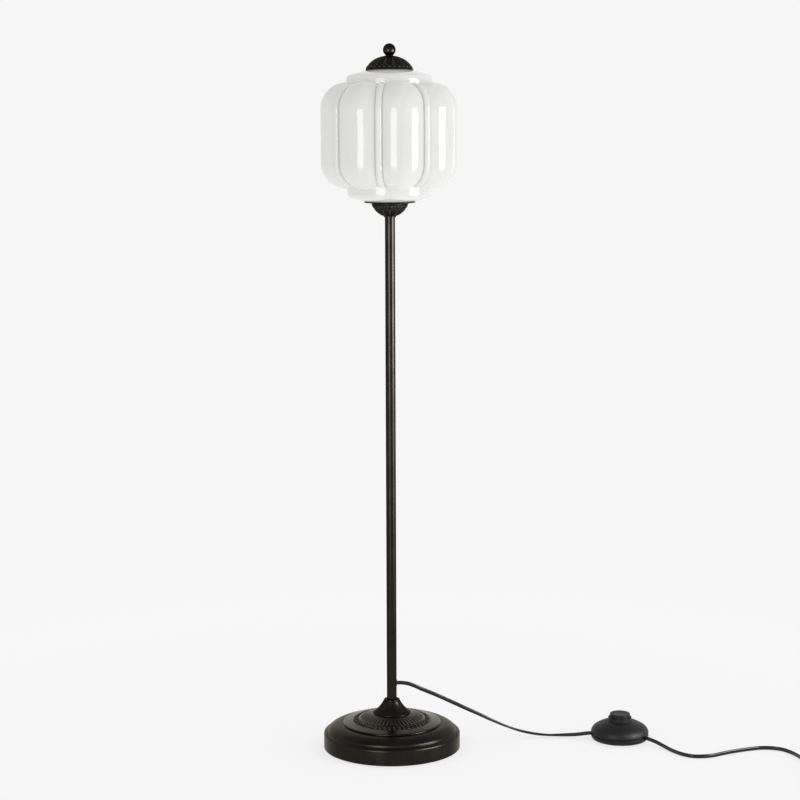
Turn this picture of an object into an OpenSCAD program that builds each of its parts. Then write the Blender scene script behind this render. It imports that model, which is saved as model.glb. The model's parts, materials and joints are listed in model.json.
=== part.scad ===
// Lantern floor lamp: a stepped round base, a slim pole in two lengths, and an
// eight-lobed opal glass shade held between an embossed cup and a domed cap by
// a harp and a ball finial. A flat twin lead leaves the foot of the pole, runs
// to a round foot switch and on to a two-pin plug.
// Origin: the centre of the underside of the base. +Z is up, and the lead
// leaves towards +X.

/* [Base] */
// Outer diameter of the base
base_d = 221; // [210:1:300]
// Height of the upright wall of the base
base_wall_h = 22; // [22:1:36]
// Thickness of the pressed steel shell of the base
shell_t = 1.6; // [1:0.1:2]
// Width of the ledge above the upright wall
ledge_w = 7; // [5:0.5:12]
// Width of the rounded swelling above the ledge
swell_w = 23.5; // [18:0.5:30]
// Height of the rounded swelling above the ledge
swell_h = 11.5; // [9:0.5:16]
// Thickness of the iron weight in the base
weight_h = 20; // [14:1:20]
// Thickness of the felt pad under the base
pad_t = 3; // [2.5:0.5:5]

/* [Rosette] */
// Height of the upright edge of the rosette
rosette_edge_h = 3; // [2:0.5:5]
// Height that the fluted cone of the rosette rises
cone_h = 8; // [5:0.5:14]
// Number of flutes, with a bead at the end of each
flutes = 48; // [24:2:52]
// Depth of each flute
flute_depth = 1; // [0.4:0.1:1.4]
// Diameter of each bead
bead_d = 6.2; // [4:0.2:6.4]

/* [Neck] */
// Diameter of the foot of the neck
neck_d = 61; // [52:1:72]
// Height of the neck
neck_h = 23; // [18:1:40]
// Width of the rounded lip round the pole
lip_w = 5; // [3:0.5:7]

/* [Pole] */
// Outer diameter of the pole tubes
pole_d = 16; // [15:0.5:22]
// Wall of the pole tubes
pole_t = 1.2; // [0.8:0.1:1.4]
// Length of the lower tube
lower_pole_l = 368; // [200:1:600]
// Length of the upper tube
upper_pole_l = 432; // [200:1:600]
// Height of the hole for the lead above the lower end of the pole
cord_hole_h = 44; // [30:1:150]
// Diameter of the threaded studs at both ends of the pole
stud_d = 10; // [9:0.5:11]

/* [Cup and plate] */
// Diameter of the cup's rim
cup_d = 58.4; // [50:0.2:70]
// Height of the cup
cup_h = 21.3; // [18:0.1:26]
// Diameter of the plate that carries the glass
plate_d = 82; // [80:1:100]
// Thickness of the plate
plate_t = 2.2; // [1.6:0.1:4]

/* [Glass shade] */
// Number of lobes round the shade
lobes = 8; // [7:1:9]
// Radius of each lobe
lobe_r = 41.2; // [39:0.1:43]
// Distance from the axis to the middle of each lobe
lobe_ring_r = 68.2; // [66:0.1:72]
// Height of the straight part of the lobes
lobe_straight = 82.9; // [60:0.1:120]
// Wall of the glass
glass_t = 3.5; // [2.5:0.1:4.5]
// Radius of the round shoulders above and below the lobes
collar_r = 67.3; // [65:0.1:70]
// Height of the shoulder below the lobes
lower_collar_h = 20.7; // [17:0.1:26]
// Height of the shoulder above the lobes
upper_collar_h = 18.2; // [17:0.1:24]
// Radius of the half-round ribs between the lobes
rib_r = 5.3; // [4:0.1:6.5]
// Diameter of the lower opening
lower_mouth_d = 68; // [64:1:70]
// Diameter of the upper opening
upper_mouth_d = 60; // [50:1:64]

/* [Cap and finial] */
// Diameter of the cap
cap_d = 75; // [72:0.5:90]
// Height of the cap's dome
cap_h = 22.5; // [20:0.5:30]
// Thickness of the cap
cap_t = 1.8; // [1.4:0.1:2.4]
// Number of flutes and beads on the cap
cap_flutes = 28; // [16:1:30]
// Diameter of the finial ball
finial_d = 20; // [14:0.5:30]

/* [Light] */
// Diameter of the wire of the harp
harp_wire_d = 3.2; // [2.5:0.1:3.6]
// Distance between the legs of the harp, from middle to middle
harp_w = 56; // [54:1:57]
// Length of the lampholder
holder_l = 60; // [52:1:70]
// Diameter of the lampholder
holder_d = 28; // [24:1:32]
// Diameter of the bulb
bulb_d = 45; // [40:1:47]

/* [Foot switch] */
// Diameter of the switch
switch_d = 95; // [86:1:110]
// Height of the lower half of the switch
switch_base_h = 9.5; // [9:0.5:14]
// Height of the upper half of the switch
switch_dome_h = 24.5; // [22:0.5:30]
// Wall of both halves of the switch
switch_t = 2; // [1.4:0.1:2.5]
// Diameter of the push button
button_d = 33; // [26:1:38]
// Height of the button above its collar at rest
button_up = 6; // [5:0.5:9]
// Travel of the button
button_travel = 3.5; // [2:0.5:4]

/* [Lead and plug] */
// Width of the flat twin lead
cord_w = 6.4; // [5:0.1:6.6]
// Thickness of the flat twin lead
cord_t = 3.8; // [3:0.1:4]
// Radius of the outermost turn of the coil
coil_r = 45; // [42:0.5:50]
// Distance from one turn of the coil to the next
coil_pitch = 6.4; // [6.2:0.1:6.8]
// Diameter of the plug pins
pin_d = 4; // [4:0.1:4.8]
// Distance between the plug pins
pin_spacing = 18.6; // [17.5:0.1:19]
// Length of the plug pins
pin_l = 19; // [17:0.5:21]

/* [Hidden] */

bronze = "#2b2823";
steel = "#8f9194";
opal = "#efefec";
black = "#1c1d1d";
brass = "#b5924c";

// Clearances: a fitted joint, and pieces that only lie beside each other
fit = 0.05;
gap = 0.3;
// Amount that a cutter runs past the face it cuts
over = 1;

// Heights up the base, from the floor: the felt pad lies inside the shell and
// stands out below it by what is left of its thickness
pad_inside = 2;
base_gap = pad_t - pad_inside;
rim_round = 4;
ledge_rise = 1.5;
wall_top_z = base_gap + base_wall_h;
ledge_z = wall_top_z + rim_round;
swell_z = ledge_z + ledge_rise;
tier_z = swell_z + swell_h;
base_r = base_d / 2;
swell_r = base_r - ledge_w;
tier_r = swell_r - swell_w;

// Rosette: radii and heights from its edge in to the foot of the neck
rosette_inset = 1;
rosette_r = tier_r - rosette_inset;
rosette_t = 3;
land_w = 15.5;
land_r = rosette_r - land_w;
bead_band_w = 10.9;
cone_r = land_r - bead_band_w;
land_rise = 2.5;
bead_rise = 3.5;
edge_z = tier_z + rosette_edge_h;
land_z = edge_z + land_rise;
cone_z = land_z + bead_rise;
neck_z = cone_z + cone_h;
boss_r = 14;

// Pole and what it stands on
pole_r = pole_d / 2;
pole_bore_r = pole_r - pole_t;
stud_r = stud_d / 2;
stud_hole_r = stud_r + gap;
socket_depth = neck_h - 5;
pole_foot_z = neck_z + neck_h - socket_depth;
pole_joint_z = pole_foot_z + lower_pole_l;
pole_top_z = pole_joint_z + upper_pole_l;
cord_hole_z = pole_foot_z + cord_hole_h;
bushing_t = 1.2;
cord_hole_r = cord_w / 2 + bushing_t;
insert_l = 20;
wire_bore_r = 3.2;
lip_r = pole_r + fit + lip_w;

// Nut and washer in the recess under the weight
weight_play = 3;
weight_r = base_r - shell_t - weight_play;
recess_r = 16;
recess_h = 9;
washer_t = 1.5;
washer_play = 4;
nut_h = 5;
nut_across = 17;
stud_up = 1;

// Head of the pole: cup, plate, saddle and nut
cup_grip = 3.3;
cup_t = 2;
cup_r = cup_d / 2;
cup_z = pole_top_z - cup_grip;
plate_z = cup_z + cup_h;
saddle_z = plate_z + plate_t;
saddle_t = 1.5;
head_nut_z = saddle_z + saddle_t;
head_nut_h = 3;
head_nut_across = 14;
holder_z = head_nut_z + head_nut_h;
stud_in_holder = 4;
cup_ball_r = (cup_r * cup_r + cup_h * cup_h) / (2 * cup_h);

// Glass
gasket_t = 0.5;
glass_z = plate_z + plate_t + gasket_t;
lobe_low_z = glass_z + lower_collar_h + lobe_r;
lobe_high_z = lobe_low_z + lobe_straight;
glass_top_z = lobe_high_z + lobe_r + upper_collar_h;
shoulder_round = 8;
seat_w = 4;
lobe_turn = 13;
rib_turn = lobe_turn - 180 / lobes;
valley_r = lobe_ring_r * cos(180 / lobes);
valley_depth = sqrt(lobe_r * lobe_r - pow(lobe_ring_r * sin(180 / lobes), 2));
rib_bend_r = valley_depth + rib_r - 1.7;
shoulder_slope = 15;
lower_seat_r = lower_mouth_d / 2 + seat_w;
seat_margin = 0.5;
upper_seat_r = cap_d / 2 + seat_margin;

// Cap, finial and harp
cap_z = glass_top_z + gasket_t;
cap_side_r = 16;
finial_r = finial_d / 2;
finial_neck_r = 6;
finial_neck_h = 0.6;
finial_z = cap_z + cap_h + finial_neck_h + sqrt(finial_r * finial_r - finial_neck_r * finial_neck_r);
harp_stud_r = 3;
harp_bend_r = harp_w / 2;
harp_foot_up = 1;
harp_foot_z = head_nut_z + harp_foot_up;
harp_drop = 4;
harp_top_z = cap_z - harp_drop;
leg_socket_t = 1.4;
leg_socket_r = harp_wire_d / 2 + leg_socket_t;
leg_socket_h = 14;

// Lampholder and bulb: the glass of the bulb widens only above the holder
thread_r = 7.1;
holder_wall = 5.4;
holder_bore_h = 27;
holder_seat = holder_l - holder_bore_h;
bulb_cap_z = holder_z + holder_seat + gap;
bulb_cap_h = 24;
bulb_neck_z = holder_z + holder_l + gap;
bulb_neck_h = 10;
bulb_r = bulb_d / 2;
bulb_neck_r = bulb_r * 0.62;
bulb_mid_z = bulb_neck_z + bulb_neck_h + sqrt(bulb_r * bulb_r - bulb_neck_r * bulb_neck_r);

// Foot switch
switch_at = [375, 38];
switch_r = switch_d / 2;
switch_foot_r = switch_r - 6.5;
switch_side_r = 15;
entry_turn = 180;
exit_turn = -atan2(3, 4);
cord_in_r = switch_r - switch_t - 0.5;
slot_z = 9;
switch_up = 0.8;
collar_up = 3;
collar_z = switch_base_h + switch_dome_h + collar_up;
collar_t = 2.2;
collar_drop = 8;
button_r = button_d / 2;
button_top_z = collar_z + button_up;
button_flange_h = 1.5;
button_low_z = collar_z - collar_drop - gap - button_flange_h;
button_wall = 2.4;
button_crown_t = 3.4;
// Room that stays between the pressed button and the mechanism
core_room = 5.7;
core_z = button_low_z - button_travel - core_room;
spring_r = 5;
spring_wire_r = 0.45;
spring_curls = 7;
screw_r = 30;
screw_d = 3;
foot_pad_r = 34;
foot_pad_d = 9;

// Routes of the lead, from the pole to the switch, from the switch to the coil
// and from the coil to the plug: x, y, z and the turn of the flat side, where
// 0 stands it on edge and 90 lays it flat
to_switch = [
    [8, 0, 106, 0], [15, 0, 106, 0], [26, 2, 104, 0], [38, 5, 99, 0], [49, 8, 93, 0],
    [72, 13, 82, 0], [95, 18, 70, 0], [118, 22, 58, 10], [141, 27, 46, 30],
    [165, 32, 33, 55], [188, 36, 22, 75], [211, 40, 13, 90], [235, 43, 7, 90],
    [258, 45, 4, 75], [282, 45, 4, 40], [304, 41, 6, 10], [322, 38, 9, 0],
    [330, 38, 9, 0]];
to_coil = [
    [411, 11, 9, 0], [417, 6.5, 9, 0], [428, -3, 7, 0], [439, -17, 4.5, 0], [450, -37, 3.3, 0],
    [463, -57, 3.3, 0], [478, -69, 3.3, 0], [494, -71, 3.3, 0], [511, -67, 3.3, 0],
    [528, -57, 3.3, 0], [547, -46, 3.3, 0], [564, -38, 3.3, 0], [582, -31, 3.3, 0],
    [599, -27, 3.3, 0], [616, -29, 3.3, 0], [631, -38, 3.3, 0], [643, -57, 3.3, 0],
    [651, -82, 3.6, 0], [656, -104, 4.2, 0], [659, -122, 4.5, 0], [659, -130, 4.5, 0]];
to_plug = [
    [659, -150, 11.8, 0], [659, -158, 11.8, 0], [662, -173, 11, 0], [669, -186, 9.6, 0],
    [680, -196, 8.2, 0], [694, -202, 7.2, 0], [706, -203, 7, 0], [713, -203, 7, 0]];
tube_sides = 8;

// Coil: two layers, in on the lower and out on the upper, climbing in the half
// turn where it reverses
coil_at = [704, -140];
coil_low_z = 4.5;
coil_rise = 7.3;
coil_turns = 5;
coil_sides = 6;
coil_steps = 24;
coil_lead = 10;
tie_t = 0.9;
tie_w = 7;

// Plug
plug_at = to_plug[len(to_plug) - 1];
relief_l = 24;
body_l = 36;
body_w = 26.2;
body_h = 14;
pin_shank_r = 1.5;
pin_shank_l = 12;
pin_round = 1.2;

// Centre of the circle of radius r through p and q, to the left of the way
// from p to q
function arc_centre(p, q, r) =
    let (d = q - p, h = sqrt(r * r - d * d / 4))
    (p + q) / 2 + h * [-d[1], d[0]] / norm(d);

// Round strip that bulges to the right of the way from p to q
module bulge(p, q, r) {
    d = q - p;
    out = [d[1], -d[0]] / norm(d) * r;
    intersection() {
        translate(arc_centre(p, q, r)) circle(r, $fn = 128);
        polygon([p, q, q + out, p + out]);
    }
}

// Quarter of an oval, wide half-width w and tall height h, made of a side arc
// of radius side_r and a top arc that meets it smoothly
function oval_drop(w, h, side_r) =
    (pow(w - side_r, 2) - pow(h - side_r, 2)) / (2 * (h - side_r));
module oval(w, h, side_r) {
    drop = oval_drop(w, h, side_r);
    top_r = h + drop;
    meet = [w - side_r, 0] + side_r * [w - side_r, drop] / norm([w - side_r, drop]);
    intersection() {
        square([w, h]);
        union() {
            translate([w - side_r, 0]) circle(side_r, $fn = 96);
            square([w - side_r, meet[1]]);
            polygon([[w - side_r, 0], meet, [0, meet[1]], [0, 0]]);
            intersection() {
                translate([0, -drop]) circle(top_r, $fn = 192);
                translate([0, meet[1]]) square([meet[0], h]);
            }
        }
    }
}

module ring(outer_r, inner_r, h) {
    difference() {
        cylinder(r = outer_r, h = h, $fn = 96);
        translate([0, 0, -over]) cylinder(r = inner_r, h = h + 2 * over, $fn = 96);
    }
}

module hex_nut(across, h, bore_r) {
    difference() {
        cylinder(d = across / cos(30), h = h, $fn = 6);
        translate([0, 0, -over]) cylinder(r = bore_r, h = h + 2 * over, $fn = 48);
    }
}

// Round bar between two points of the plane y = 0, given as [x, z]
module bar(a, b, ra, rb) {
    d = b - a;
    translate([a[0], 0, a[1]]) rotate([0, atan2(d[0], d[1]), 0])
        cylinder(r1 = ra, r2 = rb, h = norm(d), $fn = 32);
}

// Tube swept along points, with an oval section of half-width a across the
// flat side and half-thickness b
function unit(v) = v / norm(v);
function along(path, i) =
    unit(path[min(i + 1, len(path) - 1)] - path[max(i - 1, 0)]);
function tube_ring(at, way, roll, a, b, sides, level) =
    let (side = unit(cross(way, level)), up = cross(side, way),
        wide = up * cos(roll) + side * sin(roll), thin = side * cos(roll) - up * sin(roll))
    [for (k = [0:sides - 1]) let (t = 90 + 360 * k / sides) at + wide * a * sin(t) + thin * b * cos(t)];
function tube_points(path, rolls, a, b, sides, level) =
    [for (i = [0:len(path) - 1])
        each tube_ring(path[i], along(path, i), rolls[i], a, b, sides, level)];
function tube_faces(rings, sides) = concat(
    [for (k = [1:sides - 2]) [0, k + 1, k]],
    [for (i = [0:rings - 2], k = [0:sides - 1]) let (j = i * sides, m = (k + 1) % sides)
        each [[j + k, j + m, j + sides + m], [j + k, j + sides + m, j + sides + k]]],
    let (e = (rings - 1) * sides) [for (k = [1:sides - 2]) [e, e + k, e + k + 1]]);
module tube(path, rolls, a, b, sides, level = [0, 0, 1]) {
    polyhedron(tube_points(path, rolls, a, b, sides, level), tube_faces(len(path), sides));
}
function places(route) = [for (p = route) [p[0], p[1], p[2]]];
function turns_of(route) = [for (p = route) p[3]];
module flat_lead(route) {
    tube(places(route), turns_of(route), cord_w / 2, cord_t / 2, tube_sides);
}

// ---- base ----

// Outside of the base shell, drawn in by the given amount
module base_outline(inset) {
    rim = [base_r - inset, wall_top_z];
    shelf = [base_r - rim_round - inset, ledge_z - inset];
    crease = [swell_r - inset, swell_z - inset];
    tier = [tier_r - inset, tier_z - inset];
    low = inset > 0 ? base_gap - over : base_gap;
    polygon([[0, low], [base_r - inset, low], rim, shelf, crease, tier, [0, tier_z - inset]]);
    bulge(rim, shelf, rim_round);
    bulge(crease, tier, swell_w);
}

module base_shell() {
    color(bronze) difference() {
        rotate_extrude($fn = 128) difference() {
            base_outline(0);
            base_outline(shell_t);
        }
        translate([0, 0, tier_z - shell_t - over])
            cylinder(r = stud_hole_r, h = shell_t + 2 * over, $fn = 48);
    }
}

module base_weight() {
    boss_top_z = tier_z - shell_t;
    color("#3a3a3a") difference() {
        union() {
            translate([0, 0, pad_t]) cylinder(r = weight_r, h = weight_h, $fn = 128);
            translate([0, 0, pad_t]) cylinder(r = 2 * boss_r, h = boss_top_z - pad_t, $fn = 96);
        }
        translate([0, 0, pad_t - over]) cylinder(r = recess_r, h = recess_h + over, $fn = 64);
        translate([0, 0, pad_t]) cylinder(r = stud_hole_r, h = boss_top_z, $fn = 48);
    }
}

module base_pad() {
    color("#4a4846") ring(weight_r, recess_r, pad_t);
}

module base_washer() {
    color(steel) translate([0, 0, pad_t + recess_h - washer_t])
        ring(recess_r - washer_play, stud_hole_r, washer_t);
}

module base_nut() {
    color(steel) translate([0, 0, pad_t + recess_h - washer_t - nut_h])
        hex_nut(nut_across, nut_h, stud_r + fit);
}

// Embossed disc on the base: a rounded edge, a plain land, a ring of beads and
// a cone of flutes that runs in under the foot of the neck
module rosette() {
    edge_round = 1.5;
    slope = [cone_r - neck_d / 2, cone_h];
    out = [slope[1], slope[0]] / norm(slope);
    pitch_out = 360 / flutes;
    cut_out_r = cone_r * sin(pitch_out / 2) * 0.95;
    cut_in_r = neck_d / 2 * sin(pitch_out / 2) * 0.95;
    bead_r = bead_d / 2;
    bead_ring_r = (land_r + cone_r) / 2;
    bead_sink = 0.3;
    rim_w = 5;
    hollow_in = 1;
    color(bronze) difference() {
        union() {
            rotate_extrude($fn = 128) difference() {
                union() {
                    polygon([[0, tier_z], [rosette_r, tier_z], [rosette_r, edge_z - edge_round],
                        [rosette_r - edge_round, edge_z], [land_r, land_z], [cone_r, cone_z],
                        [neck_d / 2, neck_z], [0, neck_z]]);
                    bulge([rosette_r, edge_z - edge_round], [rosette_r - edge_round, edge_z], edge_round);
                }
                polygon([[boss_r, tier_z - over], [rosette_r - rim_w, tier_z - over],
                    [rosette_r - rim_w, tier_z], [land_r, land_z - rosette_t],
                    [cone_r - hollow_in, cone_z - rosette_t],
                    [neck_d / 2 - hollow_in, neck_z - rosette_t], [boss_r, neck_z - rosette_t]]);
            }
            for (i = [0:flutes - 1]) rotate((i + 0.5) * pitch_out)
                translate([bead_ring_r, 0, (land_z + cone_z) / 2 - bead_sink]) sphere(bead_r, $fn = 24);
        }
        for (i = [0:flutes - 1]) rotate(i * pitch_out)
            bar([cone_r, cone_z] + out * (cut_out_r - flute_depth),
                [neck_d / 2, neck_z] + out * (cut_in_r - flute_depth), cut_out_r, cut_in_r);
        translate([0, 0, tier_z - over])
            cylinder(r = stud_hole_r, h = neck_z - tier_z + 2 * over, $fn = 48);
    }
}

// ---- neck and pole ----

module neck() {
    lip_round = lip_w / 2 - gap;
    flange_t = 1.5;
    flange_w = 1;
    flare_low = [neck_d / 2 - flange_w, neck_z + flange_t];
    flare_high = [lip_r, neck_z + neck_h - lip_round];
    flare_r = neck_d * 0.85;
    color(bronze) rotate_extrude($fn = 128) difference() {
        union() {
            polygon([[stud_hole_r, neck_z], [neck_d / 2, neck_z], [neck_d / 2, neck_z + flange_t],
                flare_low, flare_high, [stud_hole_r, flare_high[1]]]);
            translate([lip_r - lip_round, flare_high[1]]) circle(lip_round, $fn = 48);
        }
        bulge(flare_high, flare_low, flare_r);
        translate([0, pole_foot_z]) square([pole_r + fit, neck_h]);
    }
}

module foot_stud() {
    low_z = pad_t + stud_up;
    color(steel) {
        translate([0, 0, low_z]) cylinder(r = stud_r, h = pole_foot_z - low_z, $fn = 48);
        translate([0, 0, pole_foot_z]) cylinder(r = pole_bore_r - fit, h = insert_l, $fn = 64);
    }
}

module pole_tube(z, l) {
    translate([0, 0, z]) ring(pole_r, pole_bore_r, l);
}

module lower_pole() {
    color(bronze) difference() {
        pole_tube(pole_foot_z, lower_pole_l);
        translate([0, 0, cord_hole_z]) rotate([0, 90, 0])
            cylinder(r = cord_hole_r, h = pole_d, $fn = 48);
    }
}

// Snap-in bushing of the lead's hole, with a thin lip that follows the pole
module cord_bushing() {
    bore_r = cord_w / 2 + gap;
    lip_t = 0.7;
    lip_out = 0.8;
    color(black) difference() {
        intersection() {
            translate([0, 0, cord_hole_z]) rotate([0, 90, 0]) union() {
                translate([0, 0, pole_bore_r - 1])
                    cylinder(r = cord_hole_r - fit, h = pole_t + 1 + lip_t, $fn = 48);
                translate([0, 0, pole_bore_r])
                    cylinder(r = cord_hole_r + lip_out, h = pole_t + lip_t, $fn = 48);
            }
            translate([0, 0, cord_hole_z - pole_d]) cylinder(r = pole_r + lip_t, h = 2 * pole_d, $fn = 96);
        }
        difference() {
            translate([0, 0, cord_hole_z - pole_d]) cylinder(r = pole_r + fit, h = 2 * pole_d, $fn = 96);
            translate([0, 0, cord_hole_z]) rotate([0, 90, 0])
                cylinder(r = cord_hole_r - fit, h = pole_d, $fn = 48);
        }
        translate([0, 0, cord_hole_z]) rotate([0, 90, 0]) cylinder(r = bore_r, h = pole_d, $fn = 48);
    }
}

// Turned sleeve that joins the two tubes from inside
module pole_coupler() {
    coupler_t = 2.2;
    color(steel) translate([0, 0, pole_joint_z - insert_l])
        ring(pole_bore_r - fit, pole_bore_r - coupler_t, 2 * insert_l);
}

module upper_pole() {
    color(bronze) pole_tube(pole_joint_z, upper_pole_l);
}

module head_stud() {
    stud_top_z = holder_z + stud_in_holder;
    color(steel) difference() {
        union() {
            translate([0, 0, pole_top_z - insert_l])
                cylinder(r = pole_bore_r - fit, h = insert_l, $fn = 64);
            translate([0, 0, pole_top_z]) cylinder(r = stud_r, h = stud_top_z - pole_top_z, $fn = 48);
        }
        translate([0, 0, pole_top_z - insert_l - over])
            cylinder(r = wire_bore_r, h = stud_top_z, $fn = 48);
    }
}

// Wires from the bushing up the pole to the lampholder
module inner_flex() {
    route = [[pole_r, 0, cord_hole_z], [pole_r - 1.5, 0, cord_hole_z], [4.4, 0, cord_hole_z + 0.8],
        [2.2, 0, cord_hole_z + 2.8], [0.7, 0, cord_hole_z + 6], [0, 0, cord_hole_z + 11],
        [0, 0, cord_hole_z + 16], [0, 0, holder_z + 5]];
    color("white") tube(route, [for (p = route) 0], cord_t / 2, cord_t / 2, tube_sides, [0, 1, 0]);
}

// ---- head: cup, plate, harp, lampholder and bulb ----

module cup() {
    flute_r = 2.4;
    flute_cut = 0.8;
    flute_count = 20;
    plain_rim = 24;
    ball_z = plate_z + cup_ball_r - cup_h;
    hub_r = pole_r + fit + 1.6;
    color(bronze) difference() {
        rotate_extrude($fn = 128) intersection() {
            union() {
                difference() {
                    translate([0, ball_z]) circle(cup_ball_r, $fn = 192);
                    translate([0, ball_z]) circle(cup_ball_r - cup_t, $fn = 192);
                }
                translate([0, cup_z]) square([hub_r, cup_grip + cup_t]);
            }
            translate([0, cup_z - 1]) square([cup_r, cup_h + 1]);
        }
        for (i = [0:flute_count - 1]) rotate(i * 360 / flute_count)
            translate([0, 0, ball_z]) rotate([90, 0, 0]) rotate(-plain_rim)
                rotate_extrude(angle = -38, $fn = 96)
                    translate([cup_ball_r + flute_r - flute_cut, 0]) circle(flute_r, $fn = 24);
        translate([0, 0, cup_z - 2]) cylinder(r = pole_r + fit, h = cup_grip + 2, $fn = 64);
        translate([0, 0, cup_z]) cylinder(r = stud_hole_r, h = cup_h, $fn = 48);
    }
}

module plate() {
    edge_t = 0.9;
    color(bronze) rotate_extrude($fn = 128)
        polygon([[stud_hole_r, plate_z], [cup_r, plate_z], [plate_d / 2, plate_z + plate_t - edge_t],
            [plate_d / 2, plate_z + plate_t], [stud_hole_r, plate_z + plate_t]]);
}

module head_nut() {
    color(steel) translate([0, 0, head_nut_z]) hex_nut(head_nut_across, head_nut_h, stud_r + fit);
}

// Strip under the nut, with a socket for each leg of the harp
module harp_saddle() {
    strip_w = 14;
    color(steel) translate([0, 0, saddle_z]) difference() {
        union() {
            translate([-harp_w / 2, -strip_w / 2, 0]) cube([harp_w, strip_w, saddle_t]);
            for (side = [-1, 1]) translate([side * harp_w / 2, 0, 0]) {
                cylinder(r = leg_socket_r, h = leg_socket_h, $fn = 32);
            }
        }
        translate([0, 0, -over]) cylinder(r = stud_hole_r, h = saddle_t + 2 * over, $fn = 48);
        for (side = [-1, 1]) translate([side * harp_w / 2, 0, harp_foot_z - saddle_z])
            cylinder(r = harp_wire_d / 2 + fit, h = leg_socket_h, $fn = 32);
    }
}

module harp() {
    wire_r = harp_wire_d / 2;
    bend_z = harp_top_z - harp_bend_r;
    stud_top_z = finial_z - 1;
    color(brass) {
        translate([0, 0, bend_z]) rotate([90, 0, 0])
            rotate_extrude(angle = 180, $fn = 96) translate([harp_bend_r, 0]) circle(wire_r, $fn = 24);
        for (side = [-1, 1]) translate([side * harp_bend_r, 0, harp_foot_z])
            cylinder(r = wire_r, h = bend_z - harp_foot_z, $fn = 24);
        translate([0, 0, harp_top_z - wire_r - 1.4]) cylinder(r = 5, h = 5, $fn = 48);
        translate([0, 0, harp_top_z]) cylinder(r = harp_stud_r, h = stud_top_z - harp_top_z, $fn = 32);
    }
}

module lampholder() {
    waist_r = holder_d / 2 - 3;
    color(black) translate([0, 0, holder_z]) rotate_extrude($fn = 96) difference() {
        polygon([[wire_bore_r, 0], [waist_r - 2, 0], [waist_r, 2], [waist_r, holder_seat - 4],
            [holder_d / 2, holder_seat], [holder_d / 2, holder_l - 2], [holder_d / 2 - 1, holder_l],
            [wire_bore_r, holder_l]]);
        translate([0, -over]) square([stud_r + fit, stud_in_holder + 2 * over]);
        translate([0, holder_seat]) square([holder_d / 2 - holder_wall, holder_l]);
    }
}

module holder_thread() {
    thread_t = holder_d / 2 - holder_wall - thread_r - gap - fit;
    color(brass) translate([0, 0, holder_z + holder_seat])
        ring(thread_r + gap + thread_t, thread_r + gap, holder_l - holder_seat - 4);
}

module bulb_cap() {
    tip_r = 4;
    color(steel) translate([0, 0, bulb_cap_z]) rotate_extrude($fn = 64)
        polygon([[0, 0], [tip_r, 0], [thread_r, 4], [thread_r, bulb_cap_h], [0, bulb_cap_h]]);
}

module bulb_globe() {
    low_z = bulb_cap_z + bulb_cap_h;
    color("white") {
        translate([0, 0, bulb_mid_z]) sphere(bulb_r, $fn = 96);
        translate([0, 0, bulb_neck_z])
            cylinder(r1 = thread_r, r2 = bulb_neck_r, h = bulb_neck_h, $fn = 96);
        translate([0, 0, low_z]) cylinder(r = thread_r, h = bulb_neck_z - low_z, $fn = 96);
    }
}

module lower_gasket() {
    color(black) translate([0, 0, plate_z + plate_t])
        ring(lower_mouth_d / 2 + seat_w, lower_mouth_d / 2 + 0.5, gasket_t);
}

module upper_gasket() {
    color(black) translate([0, 0, glass_top_z]) ring(cap_d / 2 - gap, upper_mouth_d / 2 + 1, gasket_t);
}

// ---- glass shade ----

// The wall is drawn at each angle round the shade as a closed outline, from the
// lower mouth up the outside and down the inside. The outline at one angle cuts
// a lobe in an upright wall with a quarter round at each end, whose middle and
// radius depend on the angle from the lobe's middle.
half_lobe = 180 / lobes;
rib_line_r = valley_r + rib_bend_r;
rib_half = asin(rib_r / rib_line_r);
function lobe_mid(from_rib) = lobe_ring_r * cos(half_lobe - from_rib);
function lobe_reach(from_rib, r) =
    sqrt(r * r - pow(lobe_ring_r * sin(half_lobe - from_rib), 2));
function rib_reach(from_rib) =
    from_rib > rib_half ? 0
    : rib_line_r + sqrt(max(0, rib_r * rib_r - pow(rib_line_r * sin(from_rib), 2))) - lobe_mid(from_rib);

// Quarter round from the wall of a lobe in to the shoulder's radius
function lobe_arc(mid, reach, shoulder_r, z, up, steps) =
    let (end = acos((shoulder_r - mid) / reach))
    [for (i = [0:steps]) let (t = end * i / steps) [mid + reach * cos(t), z + up * reach * sin(t)]];

// Shoulder from its seat, down the slope and round to its upright wall
function shoulder_arc(seat_r, z, up, inset, angles) =
    let (mid_r = collar_r - shoulder_round, r = shoulder_round - inset,
        drop = (mid_r + shoulder_round * cos(90 - shoulder_slope) - seat_r) * tan(shoulder_slope),
        mid_z = z - up * (drop + shoulder_round * sin(90 - shoulder_slope)))
    [for (t = angles) [mid_r + r * cos(t), mid_z + up * r * sin(t)]];

function flip(list) = [for (i = [len(list) - 1:-1:0]) list[i]];

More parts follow.
